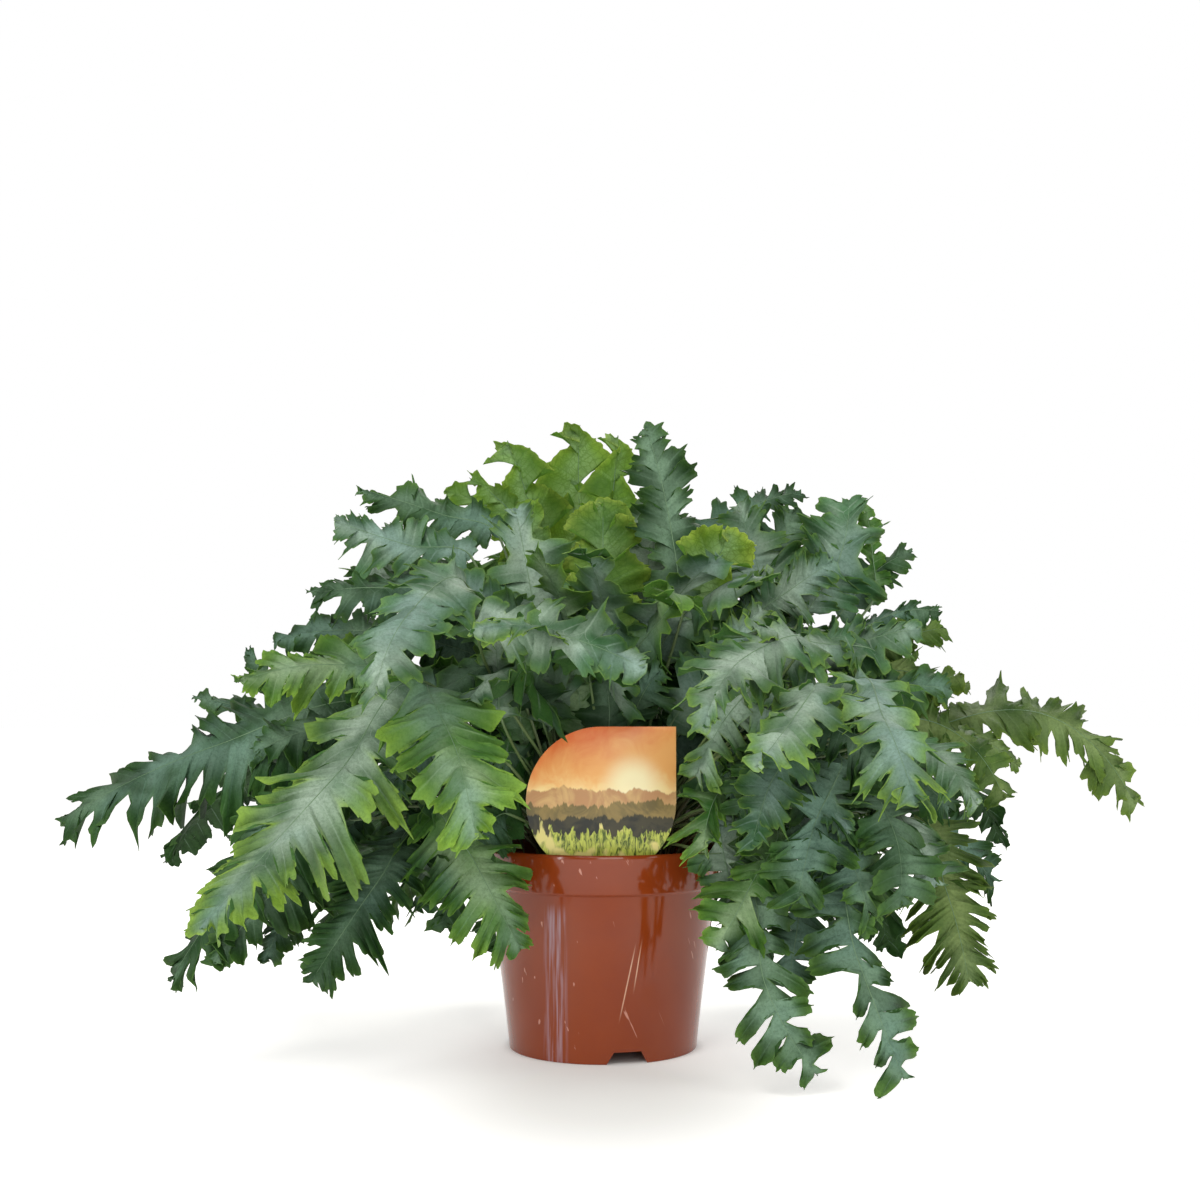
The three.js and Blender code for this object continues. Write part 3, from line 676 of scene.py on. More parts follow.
def tube(shape, line, frames, radii, around=6, finish=0, marks=None):
    """A closed round stem along a line, rolled from a grid; its two ends come to a point."""
    where = shape.verts.layers.float_vector.get("leaf")
    grid = bmesh.ops.create_grid(shape, x_segments=len(line) - 1, y_segments=around, size=1)
    for vert in grid["verts"]:
        i = round((vert.co.x + 1) / 2 * (len(line) - 1))
        turn = (vert.co.y + 1) * math.pi
        _, side, normal = frames[i]
        vert.co = line[i] + (side * math.cos(turn) + normal * math.sin(turn)) * radii[i]
        if marks:
            vert[where] = (0, 0, marks[i])
    faces = {face for vert in grid["verts"] for face in vert.link_faces}
    bmesh.ops.remove_doubles(shape, verts=grid["verts"], dist=MERGE)
    faces = [face for face in faces if face.is_valid]
    for face in faces:
        face.material_index = finish
    bmesh.ops.recalc_face_normals(shape, faces=faces)


def lobe_traits(draw, cut, fern):
    """One lobe's own length, lean, bend, twist, fold, wave and margin."""
    curled = draw.random() < 0.14
    return dict(
        reach=draw.uniform(cut["short"], 1.18),
        lean=math.radians(draw.uniform(-cut["stray"], cut["stray"])),
        droop=fern.droop * cut["curl"] * draw.uniform(-0.5, 2.0) * (1.8 if curled else 1.0),
        twist=fern.twist * cut["curl"] * draw.uniform(-1.2, 1.8),
        fold=draw.uniform(-0.5, 0.4),
        wave=fern.ruffle * draw.uniform(0.4, 1.5),
        phase=draw.uniform(0, 2 * math.pi),
        tint=draw.random(),
        points=draw.choice(cut["points"]),
        depth=cut["depth"] * draw.uniform(0.5, 1.3),
        teeth=[draw.uniform(-1, 1) for _ in range(cut["columns"] + 1)],
    )


def fullness(share, cut):
    """A blade's half width from 0 to 1, from its start to its tip."""
    share = min(1.0, max(0.0, share))
    return max(0.0, math.sin(math.pi * share ** 0.75)) ** cut["blunt"] * (1 - cut["narrow"] * share)


def margin(phase, cut, traits):
    """The margin of a lobe: its place in half widths and in lengths, pulled in between its points."""
    climb = 1 - abs(2 * phase - 1) ** 1.45
    wide = (1 - climb ** cut["taper"]) * (1 + cut["swell"] * math.sin(math.pi * climb))
    high = cut["whole"] + (1 - cut["whole"]) * climb ** cut["round"]
    point = phase * traits["points"] % 1
    between = abs(2 * point - 1) ** 1.3 * smooth(0.0, 0.3, climb)
    pull = 1 - traits["depth"] * between
    pull += cut["teeth"] * traits["teeth"][round(phase * cut["columns"])]
    side = -1 if phase < 0.5 else 1
    return side * wide * pull, 0.4 + (high - 0.4) * pull


def lobe_point(rib, frames, pitch, width, cut, lobe, phase, column, edge, sign, traits, fern):
    """Where a point of one lobe lies, and how far across and out along the lobe it is."""
    columns = len(rib) - 1
    per = cut["columns"]
    shift = per // 2 if sign > 0 else 0
    centre = min(columns - 2, max(1, round((lobe + 0.5) * per - shift)))
    share = centre / columns
    lean_low, lean_high = cut["lean"]
    lean = math.radians(lean_low + (lean_high - lean_low) * share)
    full = width / 2 * fullness(share, cut) * traits["reach"] / max(0.6, math.cos(lean)) ** 0.8
    lean += traits["lean"]
    half = pitch / 2 * math.cos(lean) * cut["fill"]
    wide, high = margin(phase, cut, traits)
    high *= smooth(-0.2 * per, 0.5 * per, column) * smooth(columns, columns - 0.5 * per, column) ** 0.6
    run = edge * high * full
    out = edge * high
    offset = edge * wide * half
    across = max(-1.0, min(1.0, wide))
    ahead, side, normal = frames[centre]
    outward = side * sign * math.cos(lean) + ahead * math.sin(lean)
    along = ahead * math.cos(lean) - side * sign * math.sin(lean)
    rise = -traits["droop"] * run * (0.3 + 0.7 * out) + traits["twist"] * offset
    rise += traits["fold"] * abs(offset) * smooth(0, 0.5, out)
    rise += traits["wave"] * full * out * out * math.sin(across * 2.6 + traits["phase"])
    rise += fern.crisp * MM * traits["teeth"][round(phase * per)] * edge ** 8
    point = rib[column].lerp(rib[centre], edge) + outward * run + along * offset + normal * rise
    point.z -= fern.sag * run * out
    return point, (across, edge, share), out


def blade(shape, rib, frames, length, width, lobes, cut, draw, fern, name):
    """A ruffled sheet cut into slanting lobes on both sides of the midrib."""
    columns = len(rib) - 1
    per = cut["columns"]
    rows = cut["rows"]
    pitch = length / lobes
    traits = {sign: [lobe_traits(draw, cut, fern) for _ in range(lobes + 2)] for sign in (-1, 1)}
    where = shape.verts.layers.float_vector.new("leaf")
    which = shape.verts.layers.float_vector.new("lobe")
    dusted = shape.verts.layers.float.new("bloomed")
    tipped = TIPPED.get(name, draw.uniform(0, 0.5))
    grid = bmesh.ops.create_grid(shape, x_segments=columns, y_segments=2 * rows, size=1)
    for vert in grid["verts"]:
        column = round((vert.co.x + 1) / 2 * columns)
        row = round((vert.co.y + 1) * rows) - rows
        sign = 1 if row > 0 else -1
        edge = abs(row) / rows
        place = (column + (per // 2 if sign > 0 else 0)) / per
        lobe = int(place)
        phase = place - lobe
        same = (rib, frames, pitch, width, cut)
        point, leaf, out = lobe_point(*same, lobe, phase, column, edge, sign, traits[sign][lobe], fern)
        if phase == 0 and 0 < lobe:
            other, _, _ = lobe_point(*same, lobe - 1, 1.0, column, edge, sign, traits[sign][lobe - 1], fern)
            point = (point + other) / 2
        swell = noise.noise(point * 30.0) * 0.0042 + noise.noise(point * 80.0) * 0.0018
        vert.co = point + frames[column][2] * swell * smooth(0.0, 0.3, edge)
        vert.co.z = max(vert.co.z, LOWEST)
        vert[where] = leaf
        vert[which] = (traits[sign][lobe]["tint"], out, tipped)
        vert[dusted] = BLOOMED.get(name, 1.0)
    bmesh.ops.remove_doubles(shape, verts=grid["verts"], dist=MERGE)
    shape.normal_update()
    kept = shape.verts.layers.float_vector.new("kept")
    for vert in shape.verts:
        vert[kept] = vert.normal
    top = list(shape.faces)
    pushed = bmesh.ops.extrude_face_region(shape, geom=top, use_keep_orig=True)
    for item in pushed["geom"]:
        if isinstance(item, bmesh.types.BMVert):
            item.co -= Vector(item[kept]) * fern.thickness
        if isinstance(item, bmesh.types.BMFace):
            item.material_index = 1
    shape.verts.layers.float_vector.remove(kept)
    bmesh.ops.recalc_face_normals(shape, faces=shape.faces)


def frond(row, fern, finishes, detail):
    """One frond: a round stipe that runs on as the midrib of a ruffled, lobed blade."""
    name, foot, start, mid, tip, width, lobes, turn, height, green, cut_name = row
    cut = dict(CUTS[cut_name])
    cut["columns"] = 2 * round(cut["columns"] * detail / 2)
    cut["rows"] = round(cut["rows"] * (0.4 + 0.6 * detail))
    draw = random.Random("frond " + name)
    lobes = round(lobes * cut["more"])
    columns = lobes * cut["columns"]
    stipe, rib, length = frond_lines(at(*foot, STIPE_FOOT), at(*start), at(*mid), at(*tip), columns)
    up = math.radians(height)
    round_z = math.radians(turn)
    face = Vector((math.cos(up) * math.cos(round_z), math.cos(up) * math.sin(round_z), math.sin(up)))
    curl = draw.uniform(-0.6, 0.6)
    frames = frames_along(rib, face, curl)
    piece, shape = blank("leaf_" + name)
    blade(shape, rib, frames, length, width * MM, lobes, cut, draw, fern, name)
    line = stipe[:-1] + rib[:-cut["columns"] // 3:RIB_STRIDE]
    lie = frames_along(line, face)
    radii = [STEM_FOOT_END]
    for i in range(1, len(line)):
        if i < len(stipe):
            radii.append(fern.stipe / 2 * (1 - 0.3 * i / len(stipe)))
        else:
            share = (i - len(stipe)) / (len(line) - len(stipe))
            radii.append(fern.stipe / 2 * (0.32 - 0.24 * share))
    radii[-1] = STEM_TIP_END
    tube(shape, line, lie, radii, finish=2, marks=[i / len(stipe) for i in range(len(line))])
    return fill(piece, shape, *finishes, sharp=60)


def grow(row, fern, detail, *nodes):
    """Makes the frond of one row in the materials of its green, for the nodes it stands for, if any."""
    green = row[-2]
    piece = frond(row, fern, finishes_for(green), detail)
    settle(piece, "leaf_" + green, *nodes)


def finishes_for(green):
    """The upper, lower and stipe materials of one green, made once."""
    made = bpy.data.materials
    upper = made.get("upper_" + green) or leaf_finish("upper_" + green, green)
    lower = made.get("lower_" + green) or leaf_finish("lower_" + green, green, under=True)
    stem = made.get("frond_stem") or stipe_finish()
    return upper, lower, stem


class LeafNodes(Nodes):
    """A leaf's material: its five colours, and the places, patterns and veins that both sides share."""

    def __init__(self, name, green):
        super().__init__(name)
        colours = [display(*colour) for colour in GREENS[green]]
        self.shade, self.middle, self.bloom, self.margin, self.back = colours
        self.spot = self.place()
        self.across, self.edge, self.along = self.parts(self.attribute("leaf", "Vector"))
        self.tint, self.out, self.tipped = self.parts(self.attribute("lobe", "Vector"))
        self.size = self.math("ABSOLUTE", self.across)
        self.patches = self.step(self.noise(self.spot, 16.0, 3.0, 0.6), 0.36, 0.66)
        self.fine = self.noise(self.spot, 90.0, 4.0, 0.65)
        slant = self.minus(self.out, self.times(self.size, 0.35))
        waves = self.math("SINE", self.times(slant, 70.0))
        self.vein = self.times(self.step(waves, 0.55, 1.0), self.step(self.size, 0.9, 0.2))
        self.middle_vein = self.times(self.step(self.size, 0.16, 0.02), self.step(self.edge, 0.95, 0.4))
        cells = self.add("ShaderNodeTexVoronoi", feature="DISTANCE_TO_EDGE")
        self.feed(cells, Vector=self.spot, Scale=150.0)
        self.net = self.step(cells.outputs["Distance"], 0.1, 0.0)
        if green == "young":
            rays = self.math("SINE", self.times(self.across, 16.0))
            rays = self.times(self.step(rays, 0.8, 1.0), self.step(self.edge, 1.0, 0.5))
            self.vein = self.math("MAXIMUM", self.vein, rays)


def lower_colour(n):
    """The paler underside, with its veins."""
    colour = n.mix(n.patches, n.back, n.mix(0.55, n.back, n.shade))
    colour = n.mix(n.times(n.net, 0.3), colour, n.shade)
    colour = n.mix(n.times(n.middle_vein, 0.5), colour, n.bloom)
    return n.mix(n.times(n.vein, 0.25), colour, n.shade)


def upper_colour(n, veined, blued):
    """The upper side: bloom along the middle of each lobe, a lighter margin and fine veins."""
    colour = n.mix(n.patches, n.shade, n.middle)
    colour = n.mix(n.times(n.step(n.fine, 0.35, 0.75), 0.35), colour, n.middle)
    streak = n.times(n.step(n.size, 0.6, 0.05), n.step(n.edge, 0.98, 0.45, 0.0, 0.25))
    softly = n.math("MAXIMUM", n.step(n.out, 0.8, 0.1), streak)
    cloud = n.step(n.noise(n.spot, 23.0, 2.0, 0.5), 0.24, 0.62)
    blue = n.step(n.noise(n.spot, 11.0, 2.0, 0.5), 0.45, 0.62, 0.0, blued)
    bloom = n.mix(blue, n.bloom, display(104, 142, 140))
    dusted = n.times(n.times(softly, cloud), n.attribute("bloomed", "Fac"))
    colour = n.mix(n.math("MINIMUM", n.times(dusted, 0.88), 0.92), colour, bloom)
    ends = n.times(n.math("POWER", n.edge, 1.9), n.step(n.patches, -0.6, 0.9))
    ends = n.times(ends, n.times(n.tipped, n.plus(0.35, n.along)))
    rim = n.times(n.math("POWER", n.edge, 9.0), 0.38)
    rim = n.times(n.plus(ends, rim, clamp=True), n.step(n.tint, -0.5, 0.8))
    colour = n.mix(rim, colour, n.margin)
    colour = n.mix(n.times(n.middle_vein, 0.3), colour, bloom)
    colour = n.mix(n.times(n.math("MAXIMUM", n.vein, n.net), veined), colour, n.shade)
    return n.mix(n.step(n.tint, 0.3, 1.0, 0.0, 0.4), colour, n.shade)


def leaf_finish(name, green, under=False):
    """One side of a matt leaf, with painted shade that darkens it inside the crown, puckered, with light that
    shines through.
    """
    thin, veined, blued = LEAF_LOOKS[green]
    n = LeafNodes(name, green)
    colour = lower_colour(n) if under else upper_colour(n, veined, blued)
    grain = n.noise(n.spot, 480.0, 3.0, 0.7)
    colour = n.mix(n.step(grain, 0.4, 0.7, 0.0, 0.3), colour, n.shade)
    # Painted shade: the colour darkens towards the shade green near the crown's middle, 0.2 m up, where the
    # leaves shade one another.
    deep = n.add("ShaderNodeVectorMath", operation="DISTANCE")
    n.join(n.spot, deep.inputs[0])
    deep.inputs[1].default_value = (0, 0, 0.2)
    colour = n.mix(n.step(deep.outputs["Value"], 0.2, 0.08, 0.0, 0.4), colour, n.shade)
    pucker = n.noise(n.spot, 48.0, 3.0, 0.6)
    height = n.plus(n.times(n.fine, 0.35), n.times(n.plus(n.vein, n.middle_vein), -0.06))
    bump = n.bump(n.plus(height, n.times(pucker, 1.6)), 0.0022, 0.7)
    n.finish(colour, bump, Roughness=0.56, Specular_IOR_Level=0.24)
    glow = n.add("ShaderNodeBsdfTranslucent")
    n.feed(glow, Color=n.mix(0.5, colour, n.margin), Normal=bump)
    both = n.add("ShaderNodeMixShader")
    both.inputs[0].default_value = thin
    n.join(n.shader.outputs[0], both.inputs[1])
    n.join(glow.outputs[0], both.inputs[2])
    n.join(both.outputs[0], n.output.inputs["Surface"])
    return n.material


def stipe_finish():
    """Stems that are brown at the foot, olive above it and pale green where they are a blade's midrib."""
    n = Nodes("frond_stem")
    place = n.place()
    along = n.parts(n.attribute("leaf", "Vector"))[2]
    colour = n.mix(n.step(along, 0.05, 0.5), display(84, 62, 32), display(84, 104, 54))
    colour = n.mix(n.step(along, 0.8, 1.15), colour, display(92, 124, 88))
    colour = n.mix(n.times(n.noise(place, 60.0, 3.0), 0.3), colour, display(128, 150, 106))
    return n.finish(colour, n.bump(n.noise(place, 420.0, 2.0), 0.0004, 0.5), Roughness=0.45)


def pot_finish(plant):
    """Glossy brown plastic with a faint mottle and thin pale scratches."""
    n = Nodes("pot_plastic")
    place = n.place()
    base = (*plant.pot_colour, 1.0)
    mottle = n.noise(place, 14.0, 4.0, 0.6)
    colour = n.mix(n.step(mottle, 0.35, 0.7, 0.0, 0.35), base, display(118, 44, 22))
    turn = n.add("ShaderNodeMapping", vector_type="TEXTURE")
    turn.inputs["Rotation"].default_value = (0.3, -0.42, 0.1)
    turn.inputs["Scale"].default_value = (0.012, 0.012, 0.4)
    n.join(place, turn.inputs["Vector"])
    scratch = n.step(n.noise(turn.outputs[0], 3.2, 2.0, 0.4), 0.72, 0.76)
    colour = n.mix(n.times(scratch, 0.55), colour, display(226, 170, 150))
    x, y, z = n.parts(place)
    near = n.math("LESS_THAN", y, -0.05)
    for start, slant, low, high in ((0.0115, 0.213, 0.03, 0.095), (0.019, 0.16, 0.052, 0.098)):
        off = n.minus(x, n.plus(start, n.times(n.minus(z, 0.03), slant)))
        line = n.times(n.step(n.math("ABSOLUTE", off), 0.0007, 0.0001), near)
        line = n.times(line, n.times(n.step(z, low, low + 0.02), n.step(z, high, high - 0.02)))
        colour = n.mix(n.times(line, 0.7), colour, display(232, 190, 160))
    # A pale lilac-grey streak of stretched noise runs down the front, left of the middle, under the collar.
    streak_coords = n.add("ShaderNodeCombineXYZ")
    n.join(n.times(x, 420.0), streak_coords.inputs[0])
    n.join(n.times(z, 14.0), streak_coords.inputs[2])
    pale_streak = n.step(n.noise(streak_coords.outputs[0], 1.0, 3.0, 0.6), 0.42, 0.66)
    beside = n.step(n.math("ABSOLUTE", n.plus(x, 0.036)), 0.011, 0.004)
    pale_streak = n.times(n.times(pale_streak, beside), n.times(near, n.step(z, 0.124, 0.11)))
    colour = n.mix(n.times(pale_streak, 0.5), colour, display(176, 160, 176))
    rough = n.step(n.noise(place, 40.0, 5.0, 0.7), 0.3, 0.8, 0.06, 0.2)
    waves = n.bump(n.noise(place, 9.0, 2.0), 0.002, 0.35)
    return n.finish(colour, waves, Roughness=rough, Specular_IOR_Level=0.42)


def mix_finish():
    """Dark, damp crumbs with a few paler ones."""
    n = Nodes("potting_mix")
    place = n.place()
    crumbs = n.noise(place, 160.0, 6.0, 0.7)
    colour = n.mix(n.step(crumbs, 0.35, 0.7), display(22, 16, 12), display(66, 48, 34))
    colour = n.mix(n.step(n.noise(place, 70.0, 2.0), 0.66, 0.72), colour, display(112, 82, 52))
    return n.finish(colour, n.bump(crumbs, 0.004, 0.9), Roughness=0.95, Specular_IOR_Level=0.2)


def bark_finish():
    """Brown bark with its grain."""
    n = Nodes("bark")
    place = n.place()
    grain = n.noise(place, 130.0, 5.0, 0.7, 1.5)
    colour = n.mix(n.step(grain, 0.3, 0.7), display(48, 32, 22), display(120, 84, 54))
    return n.finish(colour, n.bump(grain, 0.001, 0.8), Roughness=0.9)


def rhizome_finish():
    """Golden brown scales that lie along the stem."""
    n = Nodes("rhizome_scales")
    place = n.place()
    scales = n.add("ShaderNodeTexVoronoi", feature="F1")
    n.feed(scales, Vector=place, Scale=420.0)
    fray = n.noise(place, 300.0, 4.0, 0.7, 2.0)
    colour = n.mix(n.step(scales.outputs["Distance"], 0.1, 0.7), display(176, 122, 62), display(92, 54, 26))
    colour = n.mix(n.times(fray, 0.4), colour, display(204, 158, 96))
    rough = n.bump(n.minus(fray, scales.outputs["Distance"]), 0.002, 0.9)
    return n.finish(colour, rough, Roughness=0.8)


def straw_finish():
    """Dry, pale straw."""
    n = Nodes("dry_stem")
    dry = n.noise(n.place(), 90.0, 3.0)
    colour = n.mix(n.step(dry, 0.3, 0.7), display(150, 120, 66), display(196, 176, 116))
    return n.finish(colour, n.bump(dry, 0.0005, 0.5), Roughness=0.6)


def tag_finish():
    """A printed landscape: evening sky, a low sun, three ridges and grass; white behind and on the stake."""
    n = Nodes("tag_print")
    place = n.place()
    x, y, z = n.parts(place)
    middle = TAG_MIDDLE * MM
    radius = TAG_RADIUS * MM
    u = n.math("DIVIDE", n.minus(x, middle.x), radius)
    v = n.math("DIVIDE", n.minus(z, middle.z), radius)
    clouds = n.noise(place, 34.0, 4.0, 0.6, 1.0)
    lift = n.plus(v, n.times(n.minus(clouds, 0.5), 0.9))
    sky = n.mix(n.step(lift, -0.1, 0.45), display(250, 226, 160), display(243, 178, 104))
    red = n.step(n.minus(lift, n.times(u, 0.35)), 0.35, 1.15)
    sky = n.mix(red, sky, display(224, 104, 44))
    sun_x = n.minus(u, 0.42)
    sun_z = n.minus(v, 0.22)
    far = n.math("SQRT", n.plus(n.times(sun_x, sun_x), n.times(sun_z, sun_z)))
    colour = n.mix(n.step(far, 0.5, 0.12), sky, display(254, 240, 190))
    ridges = (
        (0.16, 2.6, 0.24, (190, 142, 96), (214, 176, 118)),
        (-0.02, 4.4, 0.28, (112, 98, 58), (150, 128, 74)),
        (-0.2, 7.5, 0.2, (36, 38, 30), (66, 62, 42)),
    )
    for level, scale, size, low, high in ridges:
        line = n.add("ShaderNodeCombineXYZ")
        n.join(n.times(u, scale), line.inputs[0])
        line.inputs[1].default_value = scale
        rise = n.minus(n.noise(line.outputs[0], 1.0, 5.0, 0.6), 0.5)
        top = n.plus(level, n.times(rise, size * 2))
        below = n.step(n.minus(top, v), -0.01, 0.02)
        mottle = n.mix(n.step(clouds, 0.4, 0.6), display(*low), display(*high))
        colour = n.mix(below, colour, mottle)
    blades = n.add("ShaderNodeMapping")
    blades.inputs["Scale"].default_value = (1.0, 1.0, 0.22)
    blades.inputs["Rotation"].default_value = (0, 0.25, 0)
    n.join(place, blades.inputs["Vector"])
    grass = n.noise(blades.outputs[0], 420.0, 3.0, 0.7, 1.2)
    tall = n.noise(blades.outputs[0], 190.0, 2.0, 0.6, 0.6)
    top = n.plus(-0.72, n.times(tall, 0.66))
    green = n.mix(n.step(grass, 0.36, 0.6), display(62, 84, 26), display(196, 204, 88))
    green = n.mix(n.step(n.noise(place, 60.0, 2.0), 0.5, 0.62), green, display(226, 214, 132))
    colour = n.mix(n.step(n.minus(top, v), -0.015, 0.015), colour, green)
    front = n.math("LESS_THAN", y, (TAG_MIDDLE.y - 0.3) * MM)
    card = n.math("GREATER_THAN", v, -1.02)
    colour = n.mix(n.times(front, card), display(238, 236, 228), colour)
    waves = n.bump(n.noise(place, 30.0, 2.0), 0.0006, 0.3)
    return n.finish(colour, waves, Roughness=0.3, Specular_IOR_Level=0.4)


def round_profile(points, radius):
    """A line in X and Z whose corners are rounded, ready to spin."""
    shape = bmesh.new()
    verts = [shape.verts.new(at(r, 0, z)) for r, z in points]
    for before, after in zip(verts, verts[1:]):
        shape.edges.new((before, after))
    bmesh.ops.bevel(
        shape, geom=verts[1:-1], offset=radius * MM, offset_type="OFFSET", segments=3, profile=0.5,
        affect="VERTICES", material=-1,
    )
    return shape


def spin(shape, steps):
    """Turns a line about the pot's axis into a closed shape."""
    bmesh.ops.spin(
        shape, geom=list(shape.verts) + list(shape.edges), cent=(0, 0, 0), axis=(0, 0, 1),
        angle=2 * math.pi, steps=steps, use_merge=True,
    )
    bmesh.ops.remove_doubles(shape, verts=list(shape.verts), dist=MERGE / 2)
    bmesh.ops.recalc_face_normals(shape, faces=list(shape.faces))


def apply_modifiers(piece):
    """Turns the shape that the piece's modifiers give into its own mesh."""
    made = bpy.data.meshes.new_from_object(piece.evaluated_get(bpy.context.evaluated_depsgraph_get()))
    piece.modifiers.clear()
    piece.data = made


def carve(piece, cutters):
    """Cuts each cutter's shape out of the piece."""
    for cutter in cutters:
        cut = piece.modifiers.new("cut", "BOOLEAN")
        cut.object = cutter
        cut.solver = "EXACT"
    apply_modifiers(piece)
    for cutter in cutters:
        bpy.data.objects.remove(cutter)


class PlantSettings(bpy.types.PropertyGroup):
    """Sizes and colours of the fern and its pot"""

    thickness: bpy.props.FloatProperty(
        name="Leaf thickness", description="Thickness of a blade", default=0.0005, unit="LENGTH"
    )
    stipe: bpy.props.FloatProperty(
        name="Stipe", description="Diameter of a stipe at its foot", default=0.003, unit="LENGTH"
    )
    droop: bpy.props.FloatProperty(
        name="Droop", description="How far lobes bend under the blade's face", default=0.2, subtype="FACTOR"
    )
    twist: bpy.props.FloatProperty(
        name="Twist", description="How far lobes turn about their own middle", default=0.45, subtype="FACTOR"
    )
    ruffle: bpy.props.FloatProperty(
        name="Ruffle", description="How far margins wave", default=0.16, subtype="FACTOR"
    )
    crisp: bpy.props.FloatProperty(
        name="Crisping", description="How far teeth stand off the blade, in millimetres", default=1.2
    )
    sag: bpy.props.FloatProperty(
        name="Sag", description="How far lobes hang under their own weight", default=0.1, subtype="FACTOR"
    )
    pot_colour: bpy.props.FloatVectorProperty(
        name="Pot colour", description="Colour of the pot's plastic", default=(0.245, 0.041, 0.006),
        subtype="COLOR", min=0, max=1,
    )


class StageSettings(bpy.types.PropertyGroup):
    """Camera, floor and lights"""

    lens: bpy.props.FloatProperty(
        name="Lens", description="Focal length on a 36 mm sensor, in millimetres", default=51.87
    )
    tilt: bpy.props.FloatProperty(
        name="Tilt", description="How far the camera looks up", default=math.radians(3.04), subtype="ANGLE"
    )
    sky: bpy.props.FloatProperty(
        name="Sky", description="Strength of the light from the white room", default=0.42
    )
    glow: bpy.props.FloatProperty(
        name="Floor glow", description="Light that the floor gives off", default=0.7
    )
    key: bpy.props.FloatProperty(
        name="Key light", description="Power of the softbox over the front", default=31.5
    )


class FERN_OT_pot(bpy.types.Operator):
    """Makes the nursery pot with its collar, foot notches and drain holes"""

    bl_idname = "blue_fern.pot"
    bl_label = "Pot"

    def execute(self, context):
        piece, blank_shape = blank("nursery_pot")
        blank_shape.free()
        shape = round_profile(FOOT_RECESS + POT_OUTSIDE + POT_INSIDE, POT_EDGE)
        spin(shape, POT_STEPS)
        fill(piece, shape)
        cutters = [self.notch(k) for k in range(NOTCHES)]
        cutters += [self.hole(k) for k in range(HOLES)]
        carve(piece, cutters)
        shape = bmesh.new()
        shape.from_mesh(piece.data)
        piece.data.materials.clear()
        fill(piece, shape, pot_finish(context.scene.fern_plant), sharp=35)
        settle(piece, "pot_plastic", "pot")
        return {"FINISHED"}

    def notch(self, k):
        """The shape of one notch, wider at the ground."""
        notch, shape = blank("notch")
        made = bmesh.ops.create_cube(shape, size=1)
        for vert in made["verts"]:
            across, inward, up = vert.co
            half, height = NOTCH_TOP if up > 0 else NOTCH_BOTTOM
            vert.co = at(inward * NOTCH_DEEP - NOTCH_OUT, 2 * across * half, height)
        turn = math.radians(FIRST_NOTCH + 180 + 360 / NOTCHES * k)
        bmesh.ops.rotate(shape, cent=(0, 0, 0), matrix=Matrix.Rotation(turn, 3, "Z"), verts=shape.verts)
        bmesh.ops.recalc_face_normals(shape, faces=shape.faces)
        return fill(notch, shape)

    def hole(self, k):
        """The shape of one drain hole."""
        hole, shape = blank("hole")
        turn = Matrix.Rotation(math.radians(30 + 360 / HOLES * k), 4, "Z")
        bmesh.ops.create_cone(
            shape, cap_ends=True, segments=24, radius1=HOLE_RADIUS * MM, radius2=HOLE_RADIUS * MM,
            depth=0.012, matrix=turn @ Matrix.Translation(at(HOLE_RING, 0, 11)),
        )
        return fill(hole, shape)


class FERN_OT_mix(bpy.types.Operator):
    """Makes the potting mix with its uneven top, and the bark chips on it"""

    bl_idname = "blue_fern.mix"
    bl_label = "Potting mix"

    def execute(self, context):
        piece, shape = blank("mix")
        top = [(MIX_RADIUS * k / MIX_RINGS, MIX_TOP) for k in range(MIX_RINGS + 1)]
        line = [shape.verts.new(at(r, 0, z)) for r, z in (*top, *MIX_SIDE)]
        for before, after in zip(line, line[1:]):
            shape.edges.new((before, after))
        spin(shape, MIX_STEPS)
        for vert in shape.verts:
            if vert.co.z > (MIX_TOP - 0.5) * MM:
                lump = noise.fractal(vert.co * 60, 0.8, 2.1, 4) * 1.6 - 0.9
                edge = smooth(0.094, 0.085, vert.co.xy.length)
                vert.co.z += (lump * edge + 2.5 * (1 - edge) * noise.noise(vert.co * 40)) * MM
        fill(piece, shape, mix_finish())
        settle(piece, "potting_mix", "potting_mix")

        bark, shape = blank("bark_chips")
        draw = random.Random("bark")
        for _ in range(CHIPS):
            self.chip(shape, draw)
        bmesh.ops.bevel(
            shape, geom=list(shape.edges), offset=0.0003, segments=1, profile=0.5, affect="EDGES", material=-1
        )
        fill(bark, shape, bark_finish())
        settle(bark, "potting_mix")
        return {"FINISHED"}

    def chip(self, shape, draw):
        """One uneven bark chip, tumbled and laid on the mix."""
        turn = draw.uniform(0, 2 * math.pi)
        far = CHIP_REACH * math.sqrt(draw.random())
        size = draw.uniform(2.0, 6.5)
        chip = bmesh.ops.create_cube(shape, size=1)["verts"]
        sides = at(size, size * draw.uniform(0.4, 0.8), draw.uniform(0.8, 2.2))
        bmesh.ops.scale(shape, vec=sides, verts=chip)
        for vert in chip:
            vert.co += Vector((draw.uniform(-1, 1), draw.uniform(-1, 1), draw.uniform(-1, 1))) * 0.0005
        turned = Matrix.Rotation(draw.uniform(0, 6.28), 3, "Z")
        tilted = Matrix.Rotation(draw.uniform(-0.5, 0.5), 3, "X")
        bmesh.ops.rotate(shape, cent=(0, 0, 0), matrix=turned @ tilted, verts=chip)
        lie = at(far * math.cos(turn), far * math.sin(turn), MIX_TOP + 0.2)
        bmesh.ops.translate(shape, vec=lie, verts=chip)


